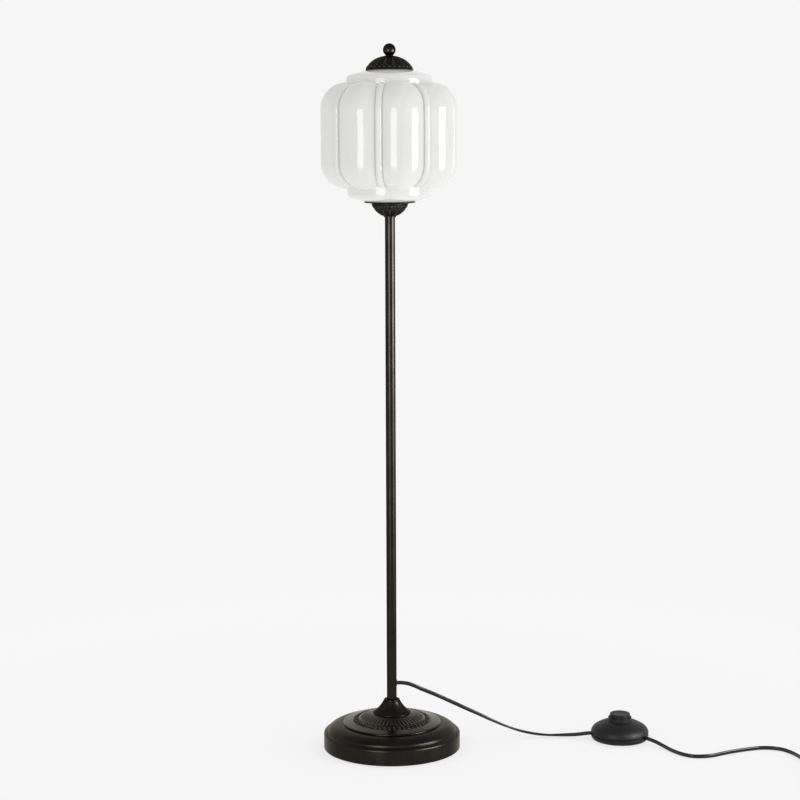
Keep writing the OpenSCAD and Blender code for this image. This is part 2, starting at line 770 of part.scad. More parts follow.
function glass_outline(from_rib) =
    let (mid = lobe_mid(from_rib),
        outer = max(lobe_reach(from_rib, lobe_r), rib_reach(from_rib)),
        inner = lobe_reach(from_rib, lobe_r - glass_t),
        low = lower_mouth_d / 2, high = upper_mouth_d / 2,
        turn = 90 - shoulder_slope)
    concat(
        [[low, glass_z], [lower_seat_r, glass_z]],
        shoulder_arc(lower_seat_r, glass_z, -1, 0, [turn, turn * 2 / 3, turn / 3, 0]),
        flip(lobe_arc(mid, outer, collar_r, lobe_low_z, -1, 5)),
        lobe_arc(mid, outer, collar_r, lobe_high_z, 1, 5),
        shoulder_arc(upper_seat_r, glass_top_z, 1, 0, [0, turn / 3, turn * 2 / 3, turn]),
        [[upper_seat_r, glass_top_z], [high, glass_top_z],
            [high, glass_top_z - glass_t], [upper_seat_r, glass_top_z - glass_t]],
        shoulder_arc(upper_seat_r, glass_top_z, 1, glass_t, [turn, 0]),
        flip(lobe_arc(mid, inner, collar_r - glass_t, lobe_high_z, 1, 3)),
        lobe_arc(mid, inner, collar_r - glass_t, lobe_low_z, -1, 3),
        shoulder_arc(lower_seat_r, glass_z, -1, glass_t, [0, turn]),
        [[lower_seat_r, glass_z + glass_t], [low, glass_z + glass_t]]);

// Angles round the shade, counted from a rib: close together over the rib
function glass_angles() =
    let (over_rib = [0, 0.65 * rib_half, 1.02 * rib_half],
        side = concat(over_rib, [for (k = [1:3]) rib_half + (half_lobe - rib_half) * k / 3]))
    concat(side, [for (k = [4:-1:1]) 2 * half_lobe - side[k]]);

module glass_shade() {
    // each column's angle round the shade and its distance from the nearest rib
    columns = [for (i = [0:lobes - 1], a = glass_angles())
        [rib_turn + i * 2 * half_lobe + a, min(a, 2 * half_lobe - a)]];
    outlines = [for (c = columns) glass_outline(c[1])];
    rows = len(outlines[0]);
    count = len(columns);
    points = [for (i = [0:count - 1]) each
        [for (p = outlines[i]) [p[0] * cos(columns[i][0]), p[0] * sin(columns[i][0]), p[1]]]];
    faces = [for (i = [0:count - 1], j = [0:rows - 1])
        let (a = i * rows, b = (i + 1) % count * rows, k = (j + 1) % rows)
        each [[a + j, a + k, b + k], [a + j, b + k, b + j]]];
    color(opal) polyhedron(points, faces);
}

// ---- cap and finial ----

module top_cap() {
    cap_r = cap_d / 2;
    drop = oval_drop(cap_r, cap_h, cap_side_r);
    top_r = cap_h + drop;
    meet_r = (cap_r - cap_side_r) * (1 + cap_side_r / norm([cap_r - cap_side_r, drop]));
    flute_r = 2.2;
    flute_cut = 0.7;
    flute_in_r = 14;
    bead_r = 1.5;
    bead_turn = 22;
    bead_mid_r = cap_side_r - 0.1;
    first = acos(meet_r / top_r);
    last = acos(flute_in_r / top_r);
    color(bronze) translate([0, 0, cap_z]) difference() {
        union() {
            rotate_extrude($fn = 128) difference() {
                oval(cap_r, cap_h, cap_side_r);
                translate([0, -over]) oval(cap_r - cap_t, cap_h - cap_t + over, cap_side_r);
            }
            for (i = [0:cap_flutes - 1]) rotate((i + 0.5) * 360 / cap_flutes)
                translate([cap_r - cap_side_r, 0, 0]) rotate([0, 90 - bead_turn, 0])
                    translate([0, 0, bead_mid_r]) sphere(bead_r, $fn = 24);
        }
        for (i = [0:cap_flutes - 1]) rotate(i * 360 / cap_flutes)
            translate([0, 0, -drop]) rotate([90, 0, 0]) rotate(first)
                rotate_extrude(angle = last - first, $fn = 96)
                    translate([top_r + flute_r - flute_cut, 0]) circle(flute_r, $fn = 24);
        cylinder(r = harp_stud_r + gap, h = cap_h + over, $fn = 48);
    }
}

// Ball on a short neck, cut flat where it stands on the cap
module finial() {
    foot_z = cap_z + cap_h;
    color(bronze) difference() {
        union() {
            translate([0, 0, finial_z]) sphere(finial_r, $fn = 96);
            translate([0, 0, foot_z]) cylinder(r = finial_neck_r, h = finial_z - foot_z, $fn = 64);
        }
        translate([0, 0, cap_z]) cylinder(r = finial_r, h = cap_h, $fn = 64);
        translate([0, 0, cap_z]) cylinder(r = harp_stud_r + fit, h = finial_z - cap_z, $fn = 48);
    }
}

// ---- lead from the pole to the foot switch ----

module cord_upper() {
    color(black) flat_lead(to_switch);
}

module cord_lower() {
    color(black) flat_lead(to_coil);
}

module cord_tail() {
    color(black) flat_lead(to_plug);
}

// ---- foot switch ----

// Height of the switch's dome above its seam, at a distance from the middle
function switch_dome_z(r) =
    let (drop = oval_drop(switch_r, switch_dome_h, switch_side_r))
    sqrt(pow(switch_dome_h + drop, 2) - r * r) - drop;

// What both halves leave open for the lead, at both sides
module lead_slots() {
    for (turn = [entry_turn, exit_turn]) rotate(turn)
        translate([cord_in_r, -cord_t / 2 - gap, slot_z - cord_w / 2 - gap])
            cube([switch_r - cord_in_r + over, cord_t + 2 * gap, cord_w + 2 * gap]);
}

module switch_base() {
    foot = [switch_foot_r, switch_up];
    seam = [switch_r, switch_base_h - 1];
    post_l = 8;
    post_w = 9;
    color(black) translate([switch_at[0], switch_at[1], 0]) difference() {
        union() {
            rotate_extrude($fn = 128) difference() {
                union() {
                    polygon([[0, switch_up], foot, seam, [switch_r - 0.8, seam[1]],
                        [switch_r - 0.8, switch_base_h], [0, switch_base_h]]);
                    bulge(foot, seam, switch_base_h);
                }
                translate([0, switch_up + switch_t])
                    square([switch_foot_r - switch_t, switch_base_h]);
                translate([0, switch_up + switch_t + 2])
                    square([switch_r - switch_t - 0.8, switch_base_h]);
            }
            for (turn = [entry_turn, exit_turn]) rotate(turn)
                translate([cord_in_r - post_l, -post_w / 2, switch_up + switch_t])
                    cube([post_l, post_w, slot_z + cord_w / 2 - switch_up - switch_t]);
        }
        lead_slots();
        for (side = [-1, 1]) translate([0, side * screw_r, 0]) {
            translate([0, 0, -over]) cylinder(d = screw_d + 2 * gap, h = switch_base_h, $fn = 32);
            translate([0, 0, switch_up - over])
                cylinder(r1 = screw_d + over, r2 = screw_d / 2 + gap, h = screw_d / 2 + 1 + over, $fn = 32);
        }
    }
}

module switch_cover() {
    boss_r = screw_d / 2 + 2.1;
    bore_r = button_r + gap;
    ring_r = switch_r - 15;
    color(black) translate([switch_at[0], switch_at[1], 0]) difference() {
        union() {
            translate([0, 0, switch_base_h]) rotate_extrude($fn = 128) difference() {
                oval(switch_r, switch_dome_h, switch_side_r);
                translate([0, -over])
                    oval(switch_r - switch_t, switch_dome_h - switch_t + over, switch_side_r);
                translate([ring_r, switch_dome_z(ring_r)]) circle(0.5, $fn = 16);
            }
            translate([0, 0, collar_z - collar_drop])
                cylinder(r = bore_r + collar_t, h = collar_drop, $fn = 96);
            for (side = [-1, 1]) translate([0, side * screw_r, switch_up + switch_t + gap])
                cylinder(r = boss_r, $fn = 32,
                    h = switch_base_h + switch_dome_z(screw_r + boss_r) - switch_up - switch_t - 1);
        }
        lead_slots();
        translate([0, 0, collar_z - collar_drop - over]) cylinder(r = bore_r, h = 2 * collar_drop, $fn = 96);
        for (side = [-1, 1]) translate([0, side * screw_r, 0])
            cylinder(d = screw_d + 2 * fit, h = switch_base_h + 6, $fn = 32);
    }
}

module switch_core() {
    color("#e8e8e2") translate([switch_at[0] - 11, switch_at[1] - 8, switch_up + switch_t])
        cube([22, 16, core_z - switch_up - switch_t]);
}

// Compression spring under the button
module button_spring() {
    low = core_z + spring_wire_r + gap;
    high = button_top_z - button_crown_t - spring_wire_r - gap;
    rings = 8 * spring_curls;
    path = [for (i = [0:rings]) let (t = 360 * i / 8)
        [switch_at[0] + spring_r * cos(t), switch_at[1] + spring_r * sin(t), low + (high - low) * i / rings]];
    echo(button_spring_least_gap = (high - low) / spring_curls - 2 * spring_wire_r);
    color(steel) tube(path, [for (p = path) 0], spring_wire_r, spring_wire_r, 6);
}

module switch_button() {
    edge_round = 1.2;
    flange_top_z = collar_z - collar_drop - gap;
    groove_z = collar_z + button_up * 0.42;
    color(black) translate([switch_at[0], switch_at[1], 0]) rotate_extrude($fn = 96) difference() {
        union() {
            polygon([[0, button_low_z], [button_r + 1.3, button_low_z], [button_r + 1.3, flange_top_z],
                [button_r, flange_top_z], [button_r, button_top_z - edge_round],
                [button_r - edge_round, button_top_z], [0, button_top_z]]);
            bulge([button_r, button_top_z - edge_round], [button_r - edge_round, button_top_z], edge_round);
        }
        translate([0, button_low_z - over])
            square([button_r - button_wall, button_top_z - button_low_z - button_crown_t + over]);
        translate([button_r - 0.5, groove_z]) square([2, 0.8]);
    }
}

module switch_screws() {
    color(steel) translate([switch_at[0], switch_at[1], 0])
        for (side = [-1, 1]) translate([0, side * screw_r, 0]) {
            translate([0, 0, switch_up]) cylinder(d = screw_d, h = 12, $fn = 32);
            translate([0, 0, switch_up])
                cylinder(r1 = screw_d - gap, r2 = screw_d / 2, h = screw_d / 2, $fn = 32);
        }
}

module switch_feet() {
    color("#4a4846") translate([switch_at[0], switch_at[1], 0])
        for (turn = [45:90:315]) rotate(turn) translate([foot_pad_r, 0, 0])
            cylinder(d = foot_pad_d, h = switch_up, $fn = 32);
}

// ---- coil of the lead that is put away, its tie and the plug ----

// Distance of the lead from the coil's middle, and its height, after some turns
function coil_r_at(turns) = coil_r - coil_pitch * min(turns, coil_turns - turns);
function coil_z_at(turns) =
    coil_low_z + coil_rise * min(1, max(0, (turns - coil_turns / 2 + 0.25) / 0.5));
function coil_path() = concat(
    [[coil_at[0] - coil_r, coil_at[1] + coil_lead, coil_low_z]],
    [for (i = [0:coil_steps * coil_turns]) let (s = i / coil_steps, t = 180 + 360 * s)
        [coil_at[0] + coil_r_at(s) * cos(t), coil_at[1] + coil_r_at(s) * sin(t), coil_z_at(s)]],
    [[coil_at[0] - coil_r, coil_at[1] - coil_lead, coil_low_z + coil_rise]]);

// Least distance between the points of rings that are over half a turn apart
function least_gap(rings) = min([for (i = [0:len(rings) - 1], j = [i + coil_steps / 2:1:len(rings) - 1])
    if (norm(rings[i][0] - rings[j][0]) < 3 * coil_pitch)
        min([for (p = rings[i], q = rings[j]) norm(p - q)])]);

module cord_coil() {
    path = coil_path();
    // the sides of the six-sided section lie at the lead's true thickness
    half_t = cord_t / 2 / cos(30);
    rings = [for (i = [0:len(path) - 1])
        tube_ring(path[i], along(path, i), 0, cord_w / 2, half_t, coil_sides, [0, 0, 1])];
    echo(cord_coil_least_gap = least_gap(rings));
    color(black) tube(path, [for (p = path) 0], cord_w / 2, half_t, coil_sides);
}

// Flat tie round all the turns, on the far side of the coil
module cord_tie() {
    play = 0.5;
    in_r = coil_r - coil_pitch * coil_turns / 2 - cord_t / 2 - play;
    out_r = coil_r - coil_pitch / 2 + cord_t / 2 + play;
    low = coil_low_z - cord_w / 2 - gap;
    high = coil_low_z + coil_rise + cord_w / 2 + gap;
    color(black) translate([coil_at[0], coil_at[1] + tie_w / 2, 0]) rotate([90, 0, 0])
        linear_extrude(tie_w) difference() {
            translate([in_r - tie_t, low - tie_t])
                square([out_r - in_r + 2 * tie_t, high - low + 2 * tie_t]);
            translate([in_r, low]) square([out_r - in_r, high - low]);
        }
}

module plug_body() {
    back_w = 13;
    shoulder_l = 15;
    tip_r = 4.2;
    root_r = 5.6;
    color(black) translate([plug_at[0], plug_at[1], plug_at[2]]) difference() {
        union() {
            intersection() {
                translate([relief_l, 0, -body_h / 2]) linear_extrude(body_h)
                    polygon([[0, -back_w / 2], [shoulder_l, -body_w / 2], [body_l, -body_w / 2],
                        [body_l, body_w / 2], [shoulder_l, body_w / 2], [0, back_w / 2]]);
                translate([relief_l, body_w, 0]) rotate([90, 0, 0]) linear_extrude(2 * body_w)
                    polygon([[0, -body_h / 2 + 1], [4, -body_h / 2], [body_l, -body_h / 2],
                        [body_l, body_h / 2 - 1], [body_l - 1, body_h / 2], [shoulder_l, body_h / 2],
                        [0, body_h / 2 - 1.2]]);
            }
            rotate([0, 90, 0]) cylinder(r1 = tip_r, r2 = root_r, h = relief_l + 1, $fn = 48);
        }
        for (i = [1:4]) translate([relief_l * i / 5 - 1, 0, 0]) rotate([0, 90, 0]) difference() {
            cylinder(r = 2 * root_r, h = 1.6, $fn = 48);
            translate([0, 0, -over]) cylinder(r = tip_r - 0.5, h = 1.6 + 2 * over, $fn = 48);
        }
        for (side = [-1, 1]) translate([relief_l + body_l - pin_shank_l, side * pin_spacing / 2, 0])
            rotate([0, 90, 0]) cylinder(r = pin_shank_r + fit, h = pin_shank_l + over, $fn = 32);
    }
}

module plug_pins() {
    pin_r = pin_d / 2;
    color(brass) translate([plug_at[0] + relief_l + body_l, plug_at[1], plug_at[2]])
        for (side = [-1, 1]) translate([0, side * pin_spacing / 2, 0]) rotate([0, 90, 0]) {
            translate([0, 0, -pin_shank_l]) cylinder(r = pin_shank_r, h = pin_shank_l, $fn = 32);
            cylinder(r = pin_r, h = pin_l - pin_round, $fn = 48);
            translate([0, 0, pin_l - pin_round])
                cylinder(r1 = pin_r, r2 = pin_r - pin_round * 0.8, h = pin_round, $fn = 48);
        }
}

base_shell();
base_weight();
base_pad();
base_washer();
base_nut();
rosette();
neck();
foot_stud();
lower_pole();
cord_bushing();
pole_coupler();
upper_pole();
head_stud();
inner_flex();
cup();
plate();
head_nut();
harp_saddle();
harp();
lampholder();
holder_thread();
bulb_cap();
bulb_globe();
lower_gasket();
glass_shade();
upper_gasket();
top_cap();
finial();
cord_upper();
switch_base();
switch_cover();
switch_core();
button_spring();
switch_button();
switch_screws();
switch_feet();
cord_lower();
cord_coil();
cord_tie();
cord_tail();
plug_body();
plug_pins();
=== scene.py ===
import json
import math

import bpy
from mathutils import Matrix, Vector


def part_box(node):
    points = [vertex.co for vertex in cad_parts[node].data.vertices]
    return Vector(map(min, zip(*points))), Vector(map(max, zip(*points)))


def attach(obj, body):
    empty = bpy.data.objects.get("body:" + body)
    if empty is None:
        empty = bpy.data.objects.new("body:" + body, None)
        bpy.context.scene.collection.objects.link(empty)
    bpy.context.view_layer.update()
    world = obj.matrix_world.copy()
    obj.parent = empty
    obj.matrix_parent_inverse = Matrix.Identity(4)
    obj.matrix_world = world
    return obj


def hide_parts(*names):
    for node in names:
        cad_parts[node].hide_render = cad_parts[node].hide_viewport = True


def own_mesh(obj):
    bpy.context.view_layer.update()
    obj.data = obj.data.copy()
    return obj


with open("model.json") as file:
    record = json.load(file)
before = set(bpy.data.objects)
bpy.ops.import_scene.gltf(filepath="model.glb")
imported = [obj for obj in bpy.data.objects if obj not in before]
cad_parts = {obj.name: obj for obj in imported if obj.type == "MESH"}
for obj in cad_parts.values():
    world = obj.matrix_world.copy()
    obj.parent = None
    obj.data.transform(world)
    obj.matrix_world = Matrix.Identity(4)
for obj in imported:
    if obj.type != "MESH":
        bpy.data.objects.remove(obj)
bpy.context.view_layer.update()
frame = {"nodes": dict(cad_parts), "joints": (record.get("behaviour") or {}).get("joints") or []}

mm = 0.001  # profiles and sizes below are in millimetres, and meshes in metres
scene = bpy.context.scene
scene.view_settings.view_transform = "Standard"

# the camera stands as far away and as tilted as in the photograph
cameraLook = {
    "place": (0.0149, -3.1726, 0.9862),
    "lens": 90.43,
    "downDeg": 7.5,
    "rollDeg": -0.19,
}


def makeCamera():
    lens = bpy.data.cameras.new("camera")
    lens.lens = cameraLook["lens"]
    lens.sensor_width = 36
    camera = bpy.data.objects.new("camera", lens)
    scene.collection.objects.link(camera)
    tilt = Matrix.Rotation(math.radians(90 - cameraLook["downDeg"]), 4, "X")
    roll = Matrix.Rotation(math.radians(cameraLook["rollDeg"]), 4, "Z")
    camera.matrix_world = Matrix.Translation(cameraLook["place"]) @ tilt @ roll
    scene.camera = camera


makeCamera()
print("camera in place")


def boxOf(node):
    # lowest and highest corner of a CAD node, in millimetres
    low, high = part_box(node)
    return low / mm, high / mm


def deselectAll():
    if bpy.context.mode != "OBJECT":
        bpy.ops.object.mode_set(mode="OBJECT")
    bpy.ops.object.select_all(action="DESELECT")


def makeActive(piece):
    deselectAll()
    piece.select_set(True)
    bpy.context.view_layer.objects.active = piece


def editMode(select="DESELECT"):
    bpy.ops.object.mode_set(mode="EDIT")
    bpy.ops.mesh.select_all(action=select)


def objectMode():
    bpy.ops.object.mode_set(mode="OBJECT")


def smoothBy(piece, angleDeg):
    # smooth shading, but for edges that are sharper than the angle
    makeActive(piece)
    bpy.ops.object.shade_smooth_by_angle(angle=math.radians(angleDeg))
    return piece


def cleanUp(piece, smoothDeg=32):
    # doubles first, then the normals, then the shading
    makeActive(piece)
    editMode("SELECT")
    bpy.ops.mesh.remove_doubles(threshold=0.000001)
    bpy.ops.mesh.normals_make_consistent(inside=False)
    objectMode()
    return smoothBy(piece, smoothDeg)


def finished(piece, kind, **settings):
    # a modifier that is put on and applied at once
    makeActive(piece)
    modifier = piece.modifiers.new(kind.lower(), kind)
    for name, value in settings.items():
        setattr(modifier, name, value)
    bpy.ops.object.modifier_apply(modifier=modifier.name)
    return piece


def softEdges(piece, wide, segments=3, angleDeg=26, smoothDeg=38):
    finished(piece, "BEVEL", width=wide * mm, segments=segments, limit_method="ANGLE",
             angle_limit=math.radians(angleDeg))
    return smoothBy(piece, smoothDeg)


def cutBy(piece, cutter):
    finished(piece, "BOOLEAN", object=cutter, operation="DIFFERENCE", solver="EXACT")
    bpy.data.objects.remove(cutter)
    return piece


def joinAll(pieces, name):
    deselectAll()
    for piece in pieces:
        piece.select_set(True)
    bpy.context.view_layer.objects.active = pieces[0]
    if len(pieces) > 1:
        bpy.ops.object.join()
    pieces[0].name = name
    return pieces[0]


def moveTo(piece, place=(0, 0, 0), turn=(0, 0, 0), grow=(1, 1, 1)):
    # the place goes into the mesh, and the object stays at the origin
    makeActive(piece)
    piece.location = [v * mm for v in place]
    piece.rotation_euler = [math.radians(a) for a in turn]
    piece.scale = grow
    bpy.ops.object.transform_apply()
    return piece


def blockOf(size, place):
    # a plain block to start from, in millimetres
    deselectAll()
    bpy.ops.mesh.primitive_cube_add(size=mm)
    block = bpy.context.object
    moveTo(block, grow=size)
    return moveTo(block, place=place)


def copyOf(piece):
    twin = piece.copy()
    twin.data = piece.data.copy()
    scene.collection.objects.link(twin)
    return twin


def arc(middle, radius, startDeg, endDeg, steps):
    turns = [math.radians(startDeg + (endDeg - startDeg) * k / steps) for k in range(steps + 1)]
    return [(middle[0] + radius * math.cos(t), middle[1] + radius * math.sin(t)) for t in turns]


def arcThrough(start, end, radius, steps):
    # the arc between two points of a profile that bulges to the right of the way
    way = Vector(end) - Vector(start)
    rise = math.sqrt(radius * radius - way.length_squared / 4)
    middle = (Vector(start) + Vector(end)) / 2 + rise * Vector((-way.y, way.x)).normalized()
    first = math.degrees(math.atan2(start[1] - middle.y, start[0] - middle.x))
    last = math.degrees(math.atan2(end[1] - middle.y, end[0] - middle.x))
    if last - first > 180:
        last -= 360
    if first - last > 180:
        last += 360
    return arc(middle, radius, first, last, steps)


def turned(name, profile, sides=192, closed=True, smoothDeg=32):
    # a ring drawn up along a profile of (radius, height), as on a lathe; an end
    # on the axis closes there
    nearAxis = 0.0005
    profile = [(max(r, nearAxis) * mm, z * mm) for r, z in profile]
    if closed:
        profile.append(profile[0])
    deselectAll()
    r, z = profile[0]
    bpy.ops.mesh.primitive_circle_add(vertices=sides, radius=r, location=(0, 0, z))
    piece = bpy.context.object
    bpy.ops.object.transform_apply()
    editMode("SELECT")
    for nextR, nextZ in profile[1:]:
        bpy.ops.mesh.extrude_region_move(TRANSFORM_OT_translate={"value": (0, 0, nextZ - z)})
        grow = nextR / r
        bpy.ops.transform.resize(value=(grow, grow, 1), center_override=(0, 0, nextZ))
        r, z = nextR, nextZ
    objectMode()
    piece.name = name
    return cleanUp(piece, smoothDeg)


def ringOf(bead, count, startDeg=0.0):
    # copies of one bead all round the axis
    beads = [bead]
    for i in range(1, count):
        beads.append(moveTo(copyOf(bead), turn=(0, 0, startDeg + 360 * i / count)))
    moveTo(bead, turn=(0, 0, startDeg))
    return beads


beadLook = {"sides": 12, "rings": 8, "raised": 0.8}


def beadShape(size, leanDeg, place):
    # one raised bead: long, wide and high as given, leaning with the surface
    deselectAll()
    bpy.ops.mesh.primitive_uv_sphere_add(segments=beadLook["sides"], ring_count=beadLook["rings"], radius=mm)
    bead = bpy.context.object
    moveTo(bead, grow=[s / 2 for s in size])
    moveTo(bead, turn=(0, leanDeg, 0))
    moveTo(bead, place=place)
    bpy.ops.object.shade_smooth()
    # the whole bead counts as standing up, so the finish draws it lighter, partly as wear and partly as a
    # painted highlight
    for spot in raisedOn(bead):
        spot.value = beadLook["raised"]
    return bead


def raisedOn(piece):
    # how far each vertex stands up out of the relief, which the finish draws lighter as wear and as a
    # painted highlight
    return piece.data.attributes.new("raised", "FLOAT", "POINT").data


def pressed(piece, pressAt, deepest):
    # a relief pressed into a turned piece: pressAt(radius, height, turn) gives its
    # depth in millimetres and the way out of the surface, or nothing off the relief
    raised = raisedOn(piece)
    for vertex in piece.data.vertices:
        x, y, z = vertex.co / mm
        r = math.hypot(x, y)
        spot = pressAt(r, z, math.atan2(y, x))
        if spot is None:
            continue
        depth, out, up = spot
        raised[vertex.index].value = max(0, 1 - depth / deepest)
        vertex.co.x -= x / r * out * depth * mm
        vertex.co.y -= y / r * out * depth * mm
        vertex.co.z -= up * depth * mm
    return smoothBy(piece, 50)


def flute(turn, count):
    return 0.5 - 0.5 * math.cos(count * turn)


# widths are shares of one petal's room, and depths shares of the relief
petalLook = {
    "halfWide": 0.44,
    "tipWide": 0.02,
    "blunt": 5,
    "rimWide": 0.055,
    "ribWide": 0.05,
    "ribTall": 0.6,
    "hollow": 0.45,
    "between": 0.85,
}


def petal(turn, share, count):
    # how far in a row of petals lies at a share of its length, from 0 to 1: each
    # has a raised rim and mid rib, a hollow between and a round tip
    look = petalLook
    across = (turn * count / (2 * math.pi)) % 1 - 0.5
    halfWide = look["halfWide"] * math.sqrt(max(0, 1 - share ** look["blunt"])) + look["tipWide"]
    rim = math.exp(-((abs(across) - halfWide) / look["rimWide"]) ** 2)
    rib = look["ribTall"] * math.exp(-(across / look["ribWide"]) ** 2) * (1 - share)
    hollow = look["hollow"] if abs(across) < halfWide else look["between"]
    return hollow * (1 - max(rim, rib))


def stands(piece, finish, slot, *nodes, body="root"):
    # one piece in place of its CAD nodes, with its finish
    piece.data.materials.clear()
    piece.data.materials.append(finish)
    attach(piece, body)
    if nodes:
        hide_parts(*nodes)
    return piece


class Wire:
    # one socket of a material, with the sums that are done on it
    def __init__(self, tree, socket):
        self.tree = tree
        self.socket = socket

    def sum(self, operation, first, second):
        node = self.tree.nodes.new("ShaderNodeMath")
        node.operation = operation
        for slotIn, value in zip(node.inputs, (first, second)):
            if isinstance(value, Wire):
                self.tree.links.new(value.socket, slotIn)
            else:
                slotIn.default_value = value
        return Wire(self.tree, node.outputs[0])

    def __add__(self, other):
        return self.sum("ADD", self, other)

    def __radd__(self, other):
        return self.sum("ADD", other, self)

    def __sub__(self, other):
        return self.sum("SUBTRACT", self, other)

    def __rsub__(self, other):
        return self.sum("SUBTRACT", other, self)

    def __mul__(self, other):
        return self.sum("MULTIPLY", self, other)

    def __rmul__(self, other):
        return self.sum("MULTIPLY", other, self)


class Finish:
    # the nodes of one material, or of the world
    def __init__(self, owner):
        self.owner = owner if isinstance(owner, bpy.types.ID) else bpy.data.materials.new(owner)
        self.owner.use_nodes = True
        self.tree = self.owner.node_tree
        self.shader = self.tree.nodes.get("Principled BSDF")

    def node(self, kind, settings=None, inputs=None, output=0):
        made = self.tree.nodes.new(kind)
        for name, value in (settings or {}).items():
            if name == "stops":
                self.setStops(made.color_ramp, value)
            else:
                setattr(made, name, value)
        for name, value in (inputs or {}).items():
            self.plug(made.inputs[name], value)
        return Wire(self.tree, made.outputs[output]) if made.outputs else None

    def setStops(self, ramp, stops):
        while len(ramp.elements) < len(stops):
            ramp.elements.new(0.5)
        for element, (place, grey) in zip(ramp.elements, stops):
            element.position = place
            element.color = (grey, grey, grey, 1)

    def plug(self, socket, value):
        if isinstance(value, Wire):
            self.tree.links.new(value.socket, socket)
        else:
            socket.default_value = value

    def set(self, **values):
        for name, value in values.items():
            self.plug(self.shader.inputs[name.replace("_", " ")], value)

    def noise(self, scale, detail=3, rough=0.5, stretch=(1, 1, 1)):
        spot = self.node("ShaderNodeTexCoord", output="Object")
        spot = self.node("ShaderNodeMapping", inputs={"Vector": spot, "Scale": stretch})
        inputs = {"Vector": spot, "Scale": scale, "Detail": detail, "Roughness": rough}
        return self.node("ShaderNodeTexNoise", inputs=inputs)

    def mix(self, amount, first, second):
        return self.node("ShaderNodeMix", {"data_type": "RGBA"}, {0: amount, 6: first, 7: second}, 2)

    def ramp(self, amount, stops):
        return self.node("ShaderNodeValToRGB", {"stops": stops}, {"Fac": amount})

    def bump(self, height, depth):
        inputs = {"Height": height, "Distance": depth}
        self.set(Normal=self.node("ShaderNodeBump", inputs=inputs, output="Normal"))

    def marked(self, name):
        # a number that each vertex carries, such as how far it stands up
        return self.node("ShaderNodeAttribute", {"attribute_name": name}, output="Fac")

    def coat(self, colour, rough, height, depth, **more):
        # what every finish ends with: its colour, its roughness and a fine bump
        self.set(Base_Color=colour, Roughness=rough, **more)
        self.bump(height, depth)
        return self.owner


bronzeTint = (0.5, 0.48, 0.45, 1)  # keeps the metal's sheen dark to its edges


def bronzePeel(made):
    # a cloudy sheen, a fine grain over it, and where the finish is thin
    cloud = made.noise(38, 3, 0.6)
    grain = made.noise(900, 2, 0.5)
    return cloud, grain, made.ramp(cloud, [(0.35, 0.0), (0.7, 1.0)])


def satinBronze(name, edgeSheen, rough):
    # satin brown-black bronze over the pressed steel of the base: fine peel, a cloudy sheen,
    # browner where it is thin, and lighter on what stands up, partly as wear and partly as a painted
    # highlight
    made = Finish(name)
    cloud, grain, thin = bronzePeel(made)
    speck = made.ramp(made.noise(2400, 1, 0.5), [(0.62, 0.0), (0.74, 1.0)])
    colour = made.mix(thin, (0.0155, 0.0145, 0.0120, 1), (0.0225, 0.0205, 0.0165, 1))
    colour = made.mix(speck * 0.2, colour, (0.045, 0.040, 0.032, 1))
    # painted highlight: what stands up is drawn lighter, partly as wear and partly for the light it catches
    colour = made.mix(made.marked("raised") * 0.5, colour, (0.040, 0.037, 0.031, 1))
    tint = (edgeSheen, edgeSheen * 0.97, edgeSheen * 0.92, 1)
    return made.coat(colour, rough + cloud * 0.08 + grain * 0.05, grain * 0.7 + cloud * 1.6, 0.00003,
                     Metallic=1.0, Specular_Tint=tint)


def darkBronze():
    # bronze blackened and lacquered
    made = Finish("darkBronze")
    cloud, grain, thin = bronzePeel(made)
    colour = made.mix(thin, (0.0165, 0.0154, 0.0136, 1), (0.0235, 0.0214, 0.0182, 1))
    return made.coat(colour, 0.20 + cloud * 0.06 + grain * 0.05, grain * 0.7 + cloud * 1.6, 0.00003,
                     Metallic=1.0, Specular_Tint=bronzeTint)


def embossedBronze():
    # the same over a rougher casting, with lighter high spots, partly worn and partly a painted highlight
    made = Finish("embossedBronze")
    cloud = made.noise(90, 4, 0.6)
    grit = made.noise(1500, 3, 0.6)
    worn = made.ramp(made.noise(260, 4, 0.65), [(0.52, 0.0), (0.72, 1.0)])
    # painted highlight: the relief's high spots are drawn lighter and glossier, partly as wear and partly
    # for the light they catch
    wornAndLit = made.ramp(made.marked("raised"), [(0.55, 0.0), (0.95, 1.0)]) * (0.45 + cloud * 0.9)
    colour = made.mix(cloud, (0.0140, 0.0136, 0.0124, 1), (0.0210, 0.0198, 0.0175, 1))
    colour = made.mix(worn * 0.4, colour, (0.050, 0.047, 0.042, 1))
    colour = made.mix(wornAndLit * 0.75, colour, (0.110, 0.105, 0.096, 1))
    return made.coat(colour, 0.32 + grit * 0.14 - wornAndLit * 0.10, grit + worn * 0.8, 0.00009,
                     Metallic=1.0, Specular_Tint=bronzeTint)


def opalGlass():
    # milky glass, drawn a little unevenly, with a hard gloss, and painted shade along the creases
    made = Finish("opalGlass")
    milk = made.noise(14, 3, 0.5)
    drawn = made.noise(22, 1, 0.4, (1, 1, 0.3))
    colour = made.mix(milk, (0.845, 0.845, 0.831, 1), (0.895, 0.895, 0.885, 1))
    # painted shade: the glass is drawn greyer along the creases between lobes and ribs, where shade falls
    colour = made.mix(made.marked("crease") * 0.6, colour, (0.60, 0.60, 0.585, 1))
    return made.coat(colour, 0.012 + milk * 0.02, drawn, 0.00016, Specular_IOR_Level=0.19)


def blackPlastic():
    made = Finish("blackPlastic")
    sparks = made.noise(1700, 3, 0.65)
    cloud = made.noise(24, 3, 0.5)
    colour = made.mix(cloud, (0.0046, 0.0052, 0.0044, 1), (0.0080, 0.0088, 0.0076, 1))
    return made.coat(colour, 0.42 + sparks * 0.14, sparks, 0.00006, Specular_IOR_Level=0.2)


